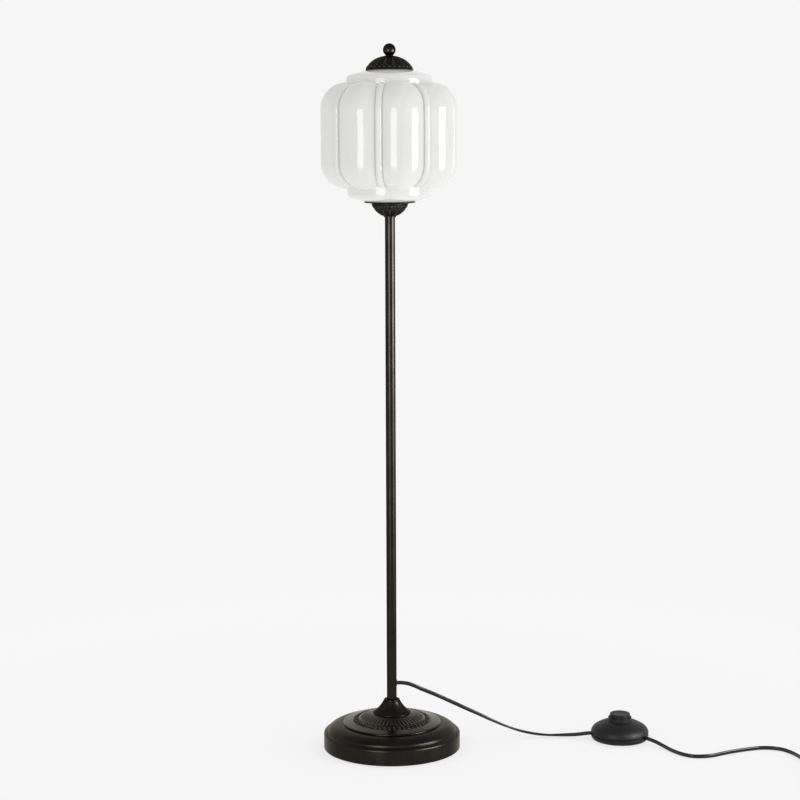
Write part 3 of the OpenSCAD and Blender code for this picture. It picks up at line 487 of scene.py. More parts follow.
def vinylLead():
    made = Finish("vinylLead")
    drag = made.noise(700, 2, 0.5)
    cloud = made.noise(60, 2, 0.5)
    colour = made.mix(cloud, (0.0035, 0.0035, 0.0030, 1), (0.0065, 0.0064, 0.0055, 1))
    return made.coat(colour, 0.15 + drag * 0.10, drag, 0.00003, Specular_IOR_Level=0.36)


def blackRubber():
    made = Finish("blackRubber")
    dust = made.noise(300, 4, 0.6)
    colour = made.mix(dust, (0.010, 0.010, 0.010, 1), (0.022, 0.022, 0.021, 1))
    return made.coat(colour, 0.55 + dust * 0.3, dust, 0.00008)


def turnedBrass():
    made = Finish("turnedBrass")
    tarnish = made.noise(70, 4, 0.6)
    lines = made.noise(1100, 2, 0.5, (0.1, 0.1, 1))
    colour = made.mix(tarnish, (0.62, 0.44, 0.20, 1), (0.72, 0.55, 0.29, 1))
    return made.coat(colour, 0.24 + lines * 0.14, lines, 0.00002, Metallic=1.0)


def nickelPlate():
    made = Finish("nickelPlate")
    haze = made.noise(220, 3, 0.5)
    colour = made.mix(haze, (0.66, 0.64, 0.60, 1), (0.76, 0.74, 0.70, 1))
    return made.coat(colour, 0.12 + haze * 0.12, haze, 0.00001, Metallic=1.0)


def whitePlastic():
    made = Finish("whitePlastic")
    flow = made.noise(120, 3, 0.5)
    colour = made.mix(flow, (0.70, 0.70, 0.66, 1), (0.78, 0.78, 0.75, 1))
    return made.coat(colour, 0.3 + flow * 0.12, flow, 0.00003)


def frostedBulb():
    made = Finish("frostedBulb")
    frost = made.noise(800, 3, 0.6)
    colour = made.mix(frost, (0.82, 0.82, 0.79, 1), (0.90, 0.90, 0.88, 1))
    return made.coat(colour, 0.32 + frost * 0.1, frost, 0.00002)


def pressedFelt():
    made = Finish("pressedFelt")
    fibre = made.noise(1300, 5, 0.7, (1, 1, 3))
    wool = made.noise(180, 4, 0.6)
    colour = made.mix(fibre, (0.020, 0.019, 0.018, 1), (0.085, 0.082, 0.078, 1))
    colour = made.mix(wool * 0.4, colour, (0.05, 0.048, 0.046, 1))
    return made.coat(colour, 0.85 + fibre * 0.12, fibre + wool, 0.0002)


def castIron():
    made = Finish("castIron")
    sand = made.noise(520, 5, 0.65)
    rust = made.ramp(made.noise(45, 4, 0.6), [(0.55, 0.0), (0.75, 1.0)])
    colour = made.mix(sand, (0.035, 0.034, 0.033, 1), (0.085, 0.083, 0.08, 1))
    colour = made.mix(rust * 0.5, colour, (0.11, 0.05, 0.025, 1))
    return made.coat(colour, 0.6 + sand * 0.25, sand, 0.0003, Metallic=0.7)


def zincSteel():
    made = Finish("zincSteel")
    spot = made.node("ShaderNodeTexCoord", output="Object")
    spangle = made.node("ShaderNodeTexVoronoi", inputs={"Vector": spot, "Scale": 260.0})
    marks = made.noise(900, 2, 0.5, (1, 1, 0.1))
    colour = made.mix(spangle, (0.47, 0.48, 0.49, 1), (0.60, 0.61, 0.62, 1))
    return made.coat(colour, 0.26 + marks * 0.16, marks, 0.00003, Metallic=1.0)


finishes = {
    "dark_bronze": darkBronze(),
    "cast_iron": castIron(),
    "felt": pressedFelt(),
    "zinc_steel": zincSteel(),
    "brass": turnedBrass(),
    "opal_glass": opalGlass(),
    "bulb_glass": frostedBulb(),
    "black_plastic": blackPlastic(),
    "white_plastic": whitePlastic(),
    "black_rubber": blackRubber(),
    "cord_vinyl": vinylLead(),
    "nickel": nickelPlate(),
}
embossed = embossedBronze()
shellBronze = satinBronze("shellBronze", 0.75, 0.24)
rosetteBronze = satinBronze("rosetteBronze", 1.0, 0.17)
print("finishes mixed:", len(finishes) + 3)

# the lead's route has the same points as in the part, in metres, with the turn
# of the flat side in degrees: 0 stands it on edge, 90 lays it flat
toSwitch = [
    (0.008, 0, 0.106, 0), (0.015, 0, 0.106, 0), (0.026, 0.002, 0.104, 0), (0.038, 0.005, 0.099, 0),
    (0.049, 0.008, 0.093, 0), (0.072, 0.013, 0.082, 0), (0.095, 0.018, 0.070, 0),
    (0.118, 0.022, 0.058, 10), (0.141, 0.027, 0.046, 30), (0.165, 0.032, 0.033, 55),
    (0.188, 0.036, 0.022, 75), (0.211, 0.040, 0.013, 90), (0.235, 0.043, 0.007, 90),
    (0.258, 0.045, 0.004, 75), (0.282, 0.045, 0.004, 40), (0.304, 0.041, 0.006, 10),
    (0.322, 0.038, 0.009, 0), (0.330, 0.038, 0.009, 0),
]
toCoil = [
    (0.411, 0.011, 0.009, 0), (0.417, 0.0065, 0.009, 0), (0.428, -0.003, 0.007, 0),
    (0.439, -0.017, 0.0045, 0), (0.450, -0.037, 0.0033, 0), (0.463, -0.057, 0.0033, 0),
    (0.478, -0.069, 0.0033, 0), (0.494, -0.071, 0.0033, 0), (0.511, -0.067, 0.0033, 0),
    (0.528, -0.057, 0.0033, 0), (0.547, -0.046, 0.0033, 0), (0.564, -0.038, 0.0033, 0),
    (0.582, -0.031, 0.0033, 0), (0.599, -0.027, 0.0033, 0), (0.616, -0.029, 0.0033, 0),
    (0.631, -0.038, 0.0033, 0), (0.643, -0.057, 0.0033, 0), (0.651, -0.082, 0.0036, 0),
    (0.656, -0.104, 0.0042, 0), (0.659, -0.122, 0.0045, 0), (0.659, -0.130, 0.0045, 0),
]
toPlug = [
    (0.659, -0.150, 0.0118, 0), (0.659, -0.158, 0.0118, 0), (0.662, -0.173, 0.011, 0),
    (0.669, -0.186, 0.0096, 0), (0.680, -0.196, 0.0082, 0), (0.694, -0.202, 0.0072, 0),
    (0.706, -0.203, 0.007, 0), (0.713, -0.203, 0.007, 0),
]
lead = {
    "wide": 0.0064,
    "thick": 0.0038,
    "coilAt": (0.704, -0.140),
    "coilR": 0.045,
    "coilPitch": 0.0064,
    "coilTurns": 5,
    "stepsPerTurn": 48,
    "coilLow": 0.0045,
    "coilRise": 0.0073,
    "sideSteps": 8,
    "stretchSteps": 5,
}


def coilPath():
    # in on the lower layer and out on the upper, climbing where it turns back
    points = []
    for i in range(lead["coilTurns"] * lead["stepsPerTurn"] + 1):
        turns = i / lead["stepsPerTurn"]
        angle = math.radians(180 + 360 * turns)
        r = lead["coilR"] - lead["coilPitch"] * min(turns, lead["coilTurns"] - turns)
        climb = min(1, max(0, (turns - lead["coilTurns"] / 2 + 0.25) / 0.5))
        z = lead["coilLow"] + lead["coilRise"] * climb * climb * (3 - 2 * climb)
        x, y = lead["coilAt"]
        points.append(Vector((x + r * math.cos(angle), y + r * math.sin(angle), z, 0)))
    return points


def smoothPath(route):
    # a smooth curve through the route's points
    knots = [Vector(p) for p in route]
    ends = [2 * knots[0] - knots[1], *knots, 2 * knots[-1] - knots[-2]]
    path = []
    for i in range(1, len(ends) - 2):
        a, b, c, d = ends[i - 1:i + 3]
        for k in range(lead["stretchSteps"]):
            t = k / lead["stretchSteps"]
            bend = (2 * a - 5 * b + 4 * c - d) * t * t + (3 * b - a - 3 * c + d) * t ** 3
            path.append(0.5 * (2 * b + (c - a) * t + bend))
    path.append(knots[-1])
    return path


def twinSection():
    # two round cores side by side under one jacket, as (across, through)
    core = lead["thick"] / 2
    apart = lead["wide"] / 2 - core
    meet = math.degrees(math.acos(-apart / core)) - 8
    right = arc((apart, 0), core, -meet, meet, lead["sideSteps"])
    return right + [(-x, -y) for x, y in right]


def sweptTube(name, path, section):
    # a section drawn along a path whose fourth number is its turn
    sides = len(section)
    vertices = []
    for i, point in enumerate(path):
        here = point.to_3d()
        way = (path[min(i + 1, len(path) - 1)] - path[max(i - 1, 0)]).to_3d().normalized()
        side = way.cross(Vector((0, 0, 1))).normalized()
        up = side.cross(way)
        roll = math.radians(point[3])
        across = up * math.cos(roll) + side * math.sin(roll)
        through = side * math.cos(roll) - up * math.sin(roll)
        vertices += [here + across * x + through * y for x, y in section]
    last = (len(path) - 1) * sides
    faces = [tuple(range(sides)), tuple(last + k for k in range(sides))]
    for i in range(0, last, sides):
        for k in range(sides):
            m = (k + 1) % sides
            faces.append((i + k, i + m, i + sides + m, i + sides + k))
    mesh = bpy.data.meshes.new(name)
    mesh.from_pydata(vertices, [], faces)
    piece = bpy.data.objects.new(name, mesh)
    scene.collection.objects.link(piece)
    return cleanUp(piece, 60)


def pathLength(path):
    return sum((b.to_3d() - a.to_3d()).length for a, b in zip(path, path[1:]))


upperPath = smoothPath(toSwitch)
lowerPath = smoothPath(toCoil) + coilPath() + smoothPath(toPlug)
upperLead = sweptTube("lead_to_switch", upperPath, twinSection())
lowerLead = sweptTube("lead_to_plug", lowerPath, twinSection())
stands(upperLead, finishes["cord_vinyl"], "cord_vinyl", "cord_upper")
stands(lowerLead, finishes["cord_vinyl"], "cord_vinyl", "cord_lower", "cord_coil", "cord_tail")
print("leads laid:", round(pathLength(upperPath), 3), "and", round(pathLength(lowerPath), 3), "m")

# pressed steel shell of the base: upright wall, ledge and rounded swelling
shellLook = {
    "rimRound": 4,
    "ledgeWide": 7,
    "ledgeRise": 1.5,
    "swellWide": 23.5,
    "swellTall": 11.5,
    "swellSideR": 5.6,
    "wall": 1.6,
    "studHole": 5.3,
    "edge": 0.5,
}


def makeBaseShell():
    low, high = boxOf("base_shell")
    radius = high.x
    swellR = radius - shellLook["ledgeWide"]
    tierR = swellR - shellLook["swellWide"]
    # the swelling passes over its highest point just outside the tier's edge
    tierZ = boxOf("rosette")[0].z
    swellZ = tierZ - shellLook["swellTall"]
    wallTop = swellZ - shellLook["ledgeRise"] - shellLook["rimRound"]

    def outline(inset):
        rim = (radius - inset, wallTop)
        shelf = (radius - shellLook["rimRound"] - inset, wallTop + shellLook["rimRound"] - inset)
        path = [(radius - inset, low.z)]
        path += arcThrough(rim, shelf, shellLook["rimRound"], 8)
        swell = ovalOutline(shellLook["swellWide"], shellLook["swellTall"], shellLook["swellSideR"], 36)
        path += [(tierR - inset + r, swellZ - inset + z) for r, z in swell]
        return path + [(shellLook["studHole"], tierZ - inset)]

    profile = outline(0) + outline(shellLook["wall"])[::-1]
    shell = softEdges(turned("base_shell_pressed", profile), shellLook["edge"])
    stands(shell, shellBronze, "dark_bronze", "base_shell")


# embossed disc: plain land, a band of raised tongues and a fluted cone
rosetteLook = {
    "edgeTall": 3,
    "edgeRound": 1.2,
    "landWide": 15.5,
    "landRise": 2.5,
    "bandWide": 10.9,
    "bandRise": 3.5,
    "bandSlope": 0.8,
    "groove": 0.5,
    "thick": 3,
    "wallIn": 1,
    "underRim": 5,
    "coneSteps": 14,
    "coneWay": (0.3, 0.95),  # straight out of the cone, as (outward, up)
    "skin": 0.6,
    "flutes": 48,
    "fluteDepth": 0.8,
    "fluteInner": 0.55,  # share of the depth that is left at the neck
    "fluteFade": (0.5, 8),
    "fluteUnder": 2,
    "tongue": (9.6, 5.2, 4.0),
    "tongueLow": 0.6,
    "edge": 0.35,
}


def makeRosette():
    look = rosetteLook
    low, high = boxOf("rosette")
    footR = boxOf("neck")[1].x
    radius, topZ = high.x, high.z
    landR = radius - look["landWide"]
    coneR = landR - look["bandWide"]
    edgeZ = low.z + look["edgeTall"]
    landZ = edgeZ + look["landRise"]
    coneZ = landZ + look["bandRise"]
    thick, groove, slope = look["thick"], look["groove"], look["bandSlope"]
    steps = look["coneSteps"]
    cone = [(coneR + (footR - coneR) * k / steps, coneZ + (topZ - coneZ) * k / steps)
            for k in range(steps + 1)]
    band = [(landR, landZ), (landR - slope, landZ - groove), (coneR + slope, coneZ - groove)]
    hole = shellLook["studHole"]
    profile = [(radius, low.z), (radius, edgeZ - look["edgeRound"]),
               (radius - look["edgeRound"], edgeZ), *band, *cone, (hole, topZ),
               (hole, topZ - thick), (footR - look["wallIn"], topZ - thick),
               (coneR - look["wallIn"], coneZ - thick), (landR, landZ - thick),
               (radius - look["underRim"], low.z)]
    disc = turned("rosette_disc", profile, sides=look["flutes"] * 10)
    softEdges(disc, look["edge"], 2)

    def coneDepth(r, z, turn):
        share = (r - footR) / (coneR - footR)
        onTop = z > topZ - share * (topZ - coneZ) - look["skin"]
        if not onTop or r > coneR or r < footR - look["fluteUnder"]:
            return None
        start, fade = look["fluteFade"]
        ends = min(1, max(0, (1 - share) * fade), max(0, share + start))
        inner = look["fluteInner"]
        depth = look["fluteDepth"] * ends * (inner + (1 - inner) * share)
        return depth * flute(turn, look["flutes"]), *look["coneWay"]

    pressed(disc, coneDepth, look["fluteDepth"])
    leanDeg = math.degrees(math.atan2(coneZ - landZ, landR - coneR))
    middle = ((landR + coneR) / 2, 0, (landZ + coneZ) / 2 - look["tongueLow"])
    tongue = beadShape(look["tongue"], leanDeg, middle)
    half = 180 / look["flutes"]
    whole = joinAll([disc] + ringOf(tongue, look["flutes"], half), "rosette_disc")
    stands(whole, rosetteBronze, "dark_bronze", "rosette")


# turned neck: flat foot, hollow flare and a rounded lip round the pole
poleFit = 0.05  # room round the pole, in the neck and in the cup
neckLook = {
    "footTall": 1.5,
    "footStep": 1,
    "lipR": 2.2,
    "lipWide": 5,
    "underLipDeg": -52,
    "flare": 0.85,
    "edge": 0.35,
}


def makeNeck():
    look = neckLook
    low, high = boxOf("neck")
    footR = high.x
    poleFoot = boxOf("lower_pole")[0].z
    boreR = boxOf("lower_pole")[1].y + poleFit
    lipMiddle = (boreR + look["lipWide"] - look["lipR"], high.z - look["lipR"])
    flareHigh = (lipMiddle[0] + look["lipR"], lipMiddle[1])
    flareLow = (footR - look["footStep"], low.z + look["footTall"])
    flare = arcThrough(flareHigh, flareLow, 2 * footR * look["flare"], steps=28)[::-1]
    underLip = arc(lipMiddle, look["lipR"], look["underLipDeg"], 90, steps=14)
    profile = [(footR, low.z), (footR, low.z + look["footTall"]), *flare[:-1], *underLip,
               (boreR, high.z), (boreR, poleFoot), (shellLook["studHole"], poleFoot),
               (shellLook["studHole"], low.z)]
    neck = softEdges(turned("neck_turned", profile), look["edge"])
    stands(neck, finishes["dark_bronze"], "dark_bronze", "neck")


# the pole's two tubes meet in a fine seam
poleLook = {"wall": 1.2, "edge": 0.35, "sides": 128, "holeR": 4.4, "holeSides": 48}


def makePoles():
    look = poleLook
    holeZ = (boxOf("cord_bushing")[0].z + boxOf("cord_bushing")[1].z) / 2
    for node, name in (("lower_pole", "pole_tube_lower"), ("upper_pole", "pole_tube_upper")):
        low, high = boxOf(node)
        inside = high.y - look["wall"]
        profile = [(high.y, low.z), (high.y, high.z), (inside, high.z), (inside, low.z)]
        tube = softEdges(turned(name, profile, sides=look["sides"]), look["edge"], 2)
        if node == "lower_pole":
            deselectAll()
            bpy.ops.mesh.primitive_cylinder_add(
                vertices=look["holeSides"], radius=look["holeR"] * mm, depth=high.y * mm,
                location=(high.y * mm, 0, holeZ * mm), rotation=(0, math.radians(90), 0))
            smoothBy(cutBy(tube, bpy.context.object), 38)
        stands(tube, finishes["dark_bronze"], "dark_bronze", node)


# embossed cup under the plate, a shallow bowl with a row of beads; angles are
# measured down from the level of the bowl's middle
cupLook = {
    "wall": 2,
    "grip": 3.3,
    "hubWall": 1.6,
    "skin": 0.5,
    "petals": 12,
    "petalDeg": (34, 68),
    "relief": 1.0,
    "reliefDeg": (32, 70),
    "fadeDeg": (2, 4),
    "beads": 30,
    "bead": (2.4, 3.6, 2.0),
    "beadSink": 0.55,
    "beadDeg": 27,
    "edge": 0.3,
}


def makeCup():
    look = cupLook
    low, high = boxOf("cup")
    rimR = high.x
    tall = high.z - low.z
    ballR = (rimR * rimR + tall * tall) / (2 * tall)
    ballZ = high.z + ballR - tall
    poleR = boxOf("upper_pole")[1].y + poleFit
    hubR = poleR + look["hubWall"]

    def side(radius, steps):
        # from the rim down to the hub
        rimDeg = -math.degrees(math.asin((ballZ - high.z) / radius))
        hubDeg = -math.degrees(math.acos(hubR / radius))
        return arc((0, ballZ), radius, rimDeg, hubDeg, steps)

    outer, inner = side(ballR, 34), side(ballR - look["wall"], 20)
    gripZ = low.z + look["grip"]
    profile = [*outer, (hubR, low.z), (poleR, low.z), (poleR, gripZ), (hubR, gripZ), *inner[::-1]]
    bowl = turned("cup_embossed", profile, sides=look["petals"] * 30)
    softEdges(bowl, look["edge"], 2)

    def bowlDepth(r, z, turn):
        downDeg = math.degrees(math.atan2(ballZ - z, r))
        far = math.hypot(ballZ - z, r)
        firstDeg, lastDeg = look["reliefDeg"]
        if far < ballR - look["skin"] or downDeg < firstDeg or downDeg > lastDeg:
            return None
        fadeIn, fadeOut = look["fadeDeg"]
        ends = min(1, (downDeg - firstDeg) / fadeIn, (lastDeg - downDeg) / fadeOut)
        tipDeg, rootDeg = look["petalDeg"]
        share = min(1, max(0, (rootDeg - downDeg) / (rootDeg - tipDeg)))
        depth = look["relief"] * ends * petal(turn, share, look["petals"])
        return depth, r / far, (z - ballZ) / far

    pressed(bowl, bowlDepth, look["relief"])
    turn = math.radians(look["beadDeg"])
    beadR = ballR - look["beadSink"]
    middle = (beadR * math.cos(turn), 0, ballZ - beadR * math.sin(turn))
    bead = beadShape(look["bead"], 90 + look["beadDeg"], middle)
    whole = joinAll([bowl] + ringOf(bead, look["beads"]), "cup_embossed")
    stands(whole, embossed, "dark_bronze", "cup")


# thin plate that the glass stands on, bevelled below
plateLook = {"edgeTall": 0.5, "hole": 5.3, "edge": 0.2}


def makePlate():
    low, high = boxOf("plate")
    cupR = boxOf("cup")[1].x
    hole = plateLook["hole"]
    profile = [(hole, low.z), (cupR, low.z), (high.x, high.z - plateLook["edgeTall"]),
               (high.x, high.z), (hole, high.z)]
    plate = softEdges(turned("plate_disc", profile), plateLook["edge"])
    stands(plate, finishes["dark_bronze"], "dark_bronze", "plate")


# domed cap: petals from the ball down to a row of beads above a plain rim
capLook = {
    "wall": 1.8,
    "below": 6.5,
    "hole": 3.3,
    "holeRoom": 0.3,
    "steps": 72,
    "skin": 0.985,  # share of the dome's size from where on a point lies on top
    "petals": 14,
    "petalBow": 1.4,
    "relief": 1.1,
    "fadeTop": 3,
    "fadeRim": 0.8,
    "topR": 8,
    "beads": 28,
    "bead": (2.4, 4.6, 1.9),
    "beadSink": 0.4,
    "beadUp": 4.6,
    "rimTall": 6.2,
    "edge": 0.3,
}


def ovalDrop(halfWide, tall, sideR):
    return ((halfWide - sideR) ** 2 - (tall - sideR) ** 2) / (2 * (tall - sideR))


def ovalOutline(halfWide, tall, sideR, steps):
    # a side arc of radius sideR and a top arc that meets it smoothly, from the rim up
    drop = ovalDrop(halfWide, tall, sideR)
    topR = tall + drop
    meetDeg = math.degrees(math.atan2(drop, halfWide - sideR))
    side = arc((halfWide - sideR, 0), sideR, 0, meetDeg, steps // 3)
    top = arc((0, -drop), topR, meetDeg, 90, steps)
    return side + top[1:]


def makeCap():
    look = capLook
    low, high = boxOf("top_cap")
    tall = high.z - low.z
    below, hole = look["below"], look["hole"]
    # an ellipse whose widest place lies a little below the rim
    ovalTall = tall + below
    ovalWide = high.x / math.sqrt(1 - (below / ovalTall) ** 2)
    startDeg = math.degrees(math.asin(below / ovalTall))

    def side(inset):
        bend = arc((0, 0), 1, startDeg, 90, look["steps"])
        points = [((ovalWide - inset) * x, (ovalTall - inset) * y - below) for x, y in bend]
        return [(r, z + low.z) for r, z in points if r > hole + look["holeRoom"]]

    inner = [p for p in side(look["wall"]) if p[1] > low.z]
    profile = side(0) + [(hole, high.z), (hole, high.z - look["wall"])] + inner[::-1]
    dome = turned("cap_domed", profile + [(inner[0][0], low.z)], sides=look["petals"] * 24)
    softEdges(dome, look["edge"], 2)

    def domeDepth(r, z, turn):
        up = z - low.z
        onTop = math.hypot(r / ovalWide, (up + below) / ovalTall) > look["skin"]
        if not onTop or r < look["topR"] or up < look["rimTall"]:
            return None
        ends = min(1, (r - look["topR"]) / look["fadeTop"], (up - look["rimTall"]) / look["fadeRim"])
        share = min(1, max(0, 1 - (up - look["rimTall"]) / (tall - look["rimTall"])))
        out, rise = r / ovalWide ** 2, (up + below) / ovalTall ** 2
        size = math.hypot(out, rise)
        depth = look["relief"] * ends * petal(turn, share ** look["petalBow"], look["petals"])
        return depth, out / size, rise / size

    pressed(dome, domeDepth, look["relief"])
    beadR = ovalWide * math.sqrt(1 - ((look["beadUp"] + below) / ovalTall) ** 2) - look["beadSink"]
    leanDeg = math.degrees(math.atan2((look["beadUp"] + below) / ovalTall ** 2, beadR / ovalWide ** 2))
    bead = beadShape(look["bead"], 90 - leanDeg, (beadR, 0, low.z + look["beadUp"]))
    whole = joinAll([dome] + ringOf(bead, look["beads"]), "cap_domed")
    stands(whole, embossed, "dark_bronze", "top_cap")


# polished ball on a short neck
finialLook = {"neckR": 6, "neckSink": 0.9, "neckTop": 6.1, "hole": 3.05}


def makeFinial():
    low, high = boxOf("finial")
    ballR = high.x
    middleZ = high.z - ballR
    startDeg = -math.degrees(math.acos(finialLook["neckTop"] / ballR))
    hole = finialLook["hole"]
    foot = low.z - finialLook["neckSink"]  # down into the cap's curved top
    profile = [(0, middleZ - 1), (hole, middleZ - 1), (hole, foot), (finialLook["neckR"], foot),
               *arc((0, middleZ), ballR, startDeg, 90, 48)]
    ball = turned("finial_ball", profile, sides=128, closed=False, smoothDeg=60)
    stands(ball, finishes["dark_bronze"], "dark_bronze", "finial")


makeBaseShell()
makeRosette()
makeNeck()
makePoles()
makeCup()
makePlate()
makeCap()
makeFinial()
print("metal pieces turned")

# blown opal glass: eight lobes with half-round ribs between, and two shoulders
shadeLook = {
    "lobes": 8,
    "lobeR": 41.2,
    "ringR": 68.2,
    "wall": 3.5,
    "collarR": 67.3,
    "lowerCollar": 20.7,
    "upperCollar": 18.2,
    "shoulderRound": 7,
    "shoulderDeg": 15,
    "lowerMouthR": 34,
    "upperMouthR": 30,
    "seatR": 38,
    "ribR": 5.3,
    "ribSink": 1.7,
    "ribFall": 3,
    "ribFlare": 1.3,
    "ribEnd": 2.4,
    "turnDeg": 13,
    "fillet": 1.3,
    "wallEdge": 0.5,
    "creaseSoft": 0.5,
    "creaseDeep": 0.9,
    "creaseWide": 2.2,
    "ripple": 0.16,
    "rippleStart": 12,
    "arcSteps": 22,
    "straightSteps": 14,
    "insideSteps": 8,
    "shoulderSteps": 9,
    "ribTurn": 0.0538,  # half the rib's width, as an angle
    "ribShares": (0, 0.3, 0.55, 0.75, 0.88, 0.95, 1, 1.05, 1.12, 1.25, 1.45, 1.75),
    "lobeSteps": 10,
}


def smoothMax(a, b, soft):
    near = max(soft - abs(a - b), 0) / soft
    return max(a, b) + near * near * soft / 4


def ribReach(fromRib, middle):
    look = shadeLook
    valleyR = look["ringR"] * math.cos(math.pi / look["lobes"])
    valleyDepth = math.sqrt(look["lobeR"] ** 2 - (look["ringR"] * math.sin(math.pi / look["lobes"])) ** 2)
    lineR = valleyR + valleyDepth + look["ribR"] - look["ribSink"]
    side = lineR * math.sin(fromRib)
    if abs(side) >= look["ribR"]:
        return lineR * math.cos(fromRib) - middle - look["ribFall"] * (abs(side) - look["ribR"])
    return lineR * math.cos(fromRib) + math.sqrt(look["ribR"] ** 2 - side * side) - middle


def lobeReach(fromRib, radius):
    half = math.pi / shadeLook["lobes"]
    return math.sqrt(radius ** 2 - (shadeLook["ringR"] * math.sin(half - fromRib)) ** 2)


def lobeEnd(fromRib, z, up, steps):
    # outside of the wall from its upright part round to the collar's foot
    look = shadeLook
    middle = look["ringR"] * math.cos(math.pi / look["lobes"] - fromRib)
    lobe = lobeReach(fromRib, look["lobeR"])

    def reachAt(share):
        # a fine line is drawn in where the lobe and the rib meet
        spread = fromRib / (1 + look["ribFlare"] * share ** 3)
        rib = ribReach(spread, middle) - look["ribEnd"] * share ** 6
        line = math.exp(-((lobe - rib) / look["creaseWide"]) ** 2)
        return smoothMax(lobe, rib, look["creaseSoft"]) - look["creaseDeep"] * line, line

    endReach, endLine = reachAt(1)
    endTurn = math.acos((look["collarR"] - middle) / endReach)
    corner = Vector((look["collarR"], z + up * endReach * math.sin(endTurn), endLine))
    stop = 1 - look["fillet"] / endReach / endTurn
    path = []
    for i in range(steps + 1):
        share = stop * i / steps
        reach, line = reachAt(share)
        t = endTurn * share
        path.append(Vector((middle + reach * math.cos(t), z + up * reach * math.sin(t), line)))
    after = corner + Vector((0, up * look["fillet"], 0))
    after.z = 0
    start = path[-1]
    for k in (0.2, 0.4, 0.6, 0.8, 1):
        path.append(start.lerp(corner, k).lerp(corner.lerp(after, k), k))
    path.append(after + Vector((0, up * look["wallEdge"], 0)))
    return [tuple(p) for p in path]


def shoulder(z, up, inset):
    # from the collar's wall round to the slope and in to the seat
    look = shadeLook
    middleR = look["collarR"] - look["shoulderRound"]
    slope = math.radians(look["shoulderDeg"])
    topDeg = 90 - look["shoulderDeg"]
    reachOut = middleR + look["shoulderRound"] * math.sin(slope)
    drop = (reachOut - look["seatR"]) * math.tan(slope)
    middleZ = z - up * (drop + look["shoulderRound"] * math.cos(slope))
    path = arc((middleR, 0), look["shoulderRound"] - inset, 0, topDeg, look["shoulderSteps"])
    path.insert(0, (path[0][0], -look["wallEdge"]))
    path = [(r, middleZ + up * h) for r, h in path]
    return path + [(look["seatR"], z - up * inset)]


def shadeColumn(fromRib, low, high):
    # one upright outline of the wall, up the outside and down the inside; points by the
    # creases have a third number, from 0 to 1, for how deep in one they lie, kept for painted shade
    look = shadeLook
    lowZ = low.z + look["lowerCollar"] + look["lobeR"]
    highZ = high.z - look["upperCollar"] - look["lobeR"]
    middle = look["ringR"] * math.cos(math.pi / look["lobes"] - fromRib)
    below = lobeEnd(fromRib, lowZ, -1, look["arcSteps"])[::-1]
    above = lobeEnd(fromRib, highZ, 1, look["arcSteps"])
    wallR, _, line = above[0]
    steps = look["straightSteps"]
    straight = [(wallR, lowZ + (highZ - lowZ) * k / steps, line) for k in range(1, steps)]
    outside = [(look["lowerMouthR"], low.z)] + shoulder(low.z, -1, 0)[::-1] + below
    outside += straight + above + shoulder(high.z, 1, 0) + [(look["upperMouthR"], high.z)]
    wall = look["wall"]
    reach = lobeReach(fromRib, look["lobeR"] - wall)
    collarIn = look["collarR"] - wall
    endDeg = math.degrees(math.acos((collarIn - middle) / reach))
    inside = [(look["upperMouthR"], high.z - wall)] + shoulder(high.z, 1, wall)[::-1]
    inside += arc((middle, highZ), reach, endDeg, 0, look["insideSteps"])
    inside += arc((middle, lowZ), reach, 0, -endDeg, look["insideSteps"])
    inside += shoulder(low.z, -1, wall) + [(look["lowerMouthR"], low.z + wall)]
    return outside, inside


def shadeAngles():
    # angles from one rib to the next, closest together over the rib's creases
    half = math.pi / shadeLook["lobes"]
    near = [shadeLook["ribTurn"] * share for share in shadeLook["ribShares"]]
    steps = shadeLook["lobeSteps"]
    far = [near[-1] + (half - near[-1]) * k / steps for k in range(1, steps + 1)]
    side = near + far
    return side + [2 * half - a for a in side[-2:0:-1]]


def makeShade():
    look = shadeLook
    low, high = boxOf("glass_shade")
    half = math.pi / look["lobes"]
    angles = shadeAngles()
    columns = []
    for i in range(look["lobes"]):
        for a in angles:
            fromRib = min(a, 2 * half - a)
            turn = math.radians(look["turnDeg"]) - half + i * 2 * half + a
            columns.append((turn, *shadeColumn(fromRib, low, high)))
    rows = len(columns[0][1]) + len(columns[0][2])
    deselectAll()
    bpy.ops.mesh.primitive_grid_add(x_subdivisions=rows, y_subdivisions=len(columns), size=1)
    glass = bpy.context.object
    glass.name = "shade_opal"
    # painted shade: each vertex keeps how deep in a crease it lies, and the glass is drawn greyer there
    creaseShade = glass.data.attributes.new("crease", "FLOAT", "POINT").data
    # the grid lies with its rows along x and its columns along y
    for vertex in glass.data.vertices:
        row = round((vertex.co.x + 0.5) * rows) % rows
        column = round((vertex.co.y + 0.5) * len(columns)) % len(columns)
        turn, outside, inside = columns[column]
        if row < len(outside):
            r, z, *line = outside[row]
            creaseShade[vertex.index].value = line[0] if line else 0
            # two slow waves make the glass a little uneven on the lobes
            belly = max(0, min(1, (r - look["collarR"]) / look["rippleStart"]))
            r += look["ripple"] * belly * (math.sin(z / 7.6 + 5 * turn) * math.sin(z / 17 - 3 * turn + 1))
        else:
            r, z = inside[row - len(outside)]
        vertex.co = (r * math.cos(turn) * mm, r * math.sin(turn) * mm, z * mm)
    cleanUp(glass, 75)
    stands(glass, finishes["opal_glass"], "opal_glass", "glass_shade")
    print("shade blown:", len(glass.data.polygons), "faces")


makeShade()

